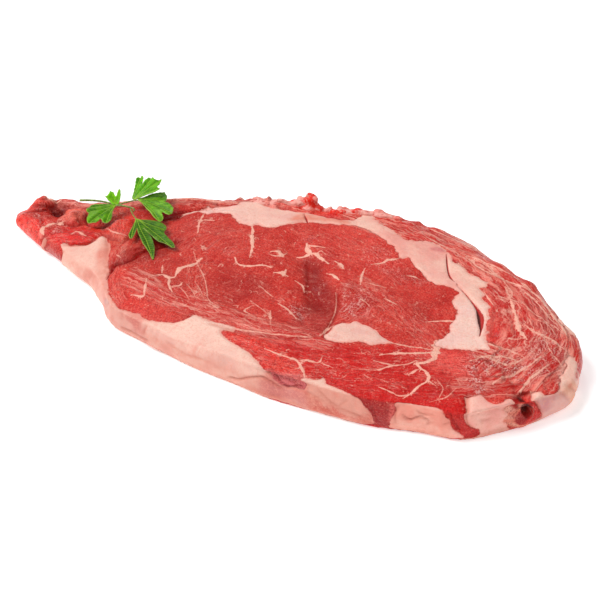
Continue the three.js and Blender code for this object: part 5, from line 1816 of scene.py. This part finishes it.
class RibeyeStageSettings(bpy.types.PropertyGroup):
    floor_size: bpy.props.FloatProperty(
        name="Floor size", description="Side of the pale floor", default=6.0, min=1, unit="LENGTH")
    lens: bpy.props.FloatProperty(
        name="Lens", description="Focal length of the camera", default=90, min=20, max=300, unit="CAMERA")
    fill: bpy.props.FloatProperty(
        name="Fill", description="Strength of the light from all round", default=0.22, min=0, max=4)
    key: bpy.props.FloatProperty(
        name="Key light", description="Strength of the soft light on the left", default=2.35, min=0, max=20)
    side: bpy.props.FloatProperty(
        name="Side light", description="Strength of the soft light on the right", default=0.7, min=0, max=20)
    glint: bpy.props.FloatProperty(
        name="Glint", description="Strength of the small light behind that makes wet meat shine",
        default=0.35, min=0, max=20)


class RIBEYE_OT_steak(bpy.types.Operator):
    """Dresses the steak: lean, fat, veins and grain over the solid's shape"""

    bl_idname = "ribeye.steak"
    bl_label = "Steak"

    def execute(self, context):
        build_steak(context.scene.ribeye_steak)
        build_shreds(context.scene.ribeye_steak.shred_cell)
        return {"FINISHED"}


class RIBEYE_OT_sprig(bpy.types.Operator):
    """Makes the parsley sprig: five leaflets and their stalks"""

    bl_idname = "ribeye.sprig"
    bl_label = "Parsley sprig"

    def execute(self, context):
        build_leaves(context.scene.ribeye_sprig)
        build_stalks(context.scene.ribeye_sprig)
        return {"FINISHED"}


class RIBEYE_OT_stage(bpy.types.Operator):
    """Sets the pale floor, the soft light and the camera"""

    bl_idname = "ribeye.stage"
    bl_label = "Stage"

    def execute(self, context):
        stage = context.scene.ribeye_stage
        build_floor(stage.floor_size)
        build_world(stage.fill)
        for name, (towards, spread) in LAMPS.items():
            build_sun(name, towards, getattr(stage, name), spread)
        build_camera(stage.lens)
        context.scene.view_settings.view_transform = "Standard"
        return {"FINISHED"}


class RIBEYE_PT_parts(bpy.types.Panel):
    bl_label = "Ribeye"
    bl_idname = "RIBEYE_PT_parts"
    bl_space_type = "VIEW_3D"
    bl_region_type = "UI"
    bl_category = "Ribeye"

    def draw(self, context):
        for operator, settings in STEPS:
            box = self.layout.box()
            group = getattr(context.scene, settings)
            for name in group.bl_rna.properties.keys():
                if name not in {"rna_type", "name"}:
                    box.prop(group, name)
            box.operator(operator)


STEPS = [
    ("ribeye.steak", "ribeye_steak"),
    ("ribeye.sprig", "ribeye_sprig"),
    ("ribeye.stage", "ribeye_stage"),
]
SETTINGS = {
    "ribeye_steak": RibeyeSteakSettings,
    "ribeye_sprig": RibeyeSprigSettings,
    "ribeye_stage": RibeyeStageSettings,
}
CLASSES = [*SETTINGS.values(), RIBEYE_OT_steak, RIBEYE_OT_sprig, RIBEYE_OT_stage, RIBEYE_PT_parts]


def register():
    for cls in CLASSES:
        bpy.utils.register_class(cls)
    for name, settings in SETTINGS.items():
        setattr(bpy.types.Scene, name, bpy.props.PointerProperty(type=settings))


def unregister():
    for name in SETTINGS:
        delattr(bpy.types.Scene, name)
    for cls in reversed(CLASSES):
        bpy.utils.unregister_class(cls)


def main():
    register()
    bpy.ops.ribeye.steak()
    bpy.ops.ribeye.sprig()
    bpy.ops.ribeye.stage()
    bpy.context.view_layer.update()


if __name__ == "__main__":
    main()
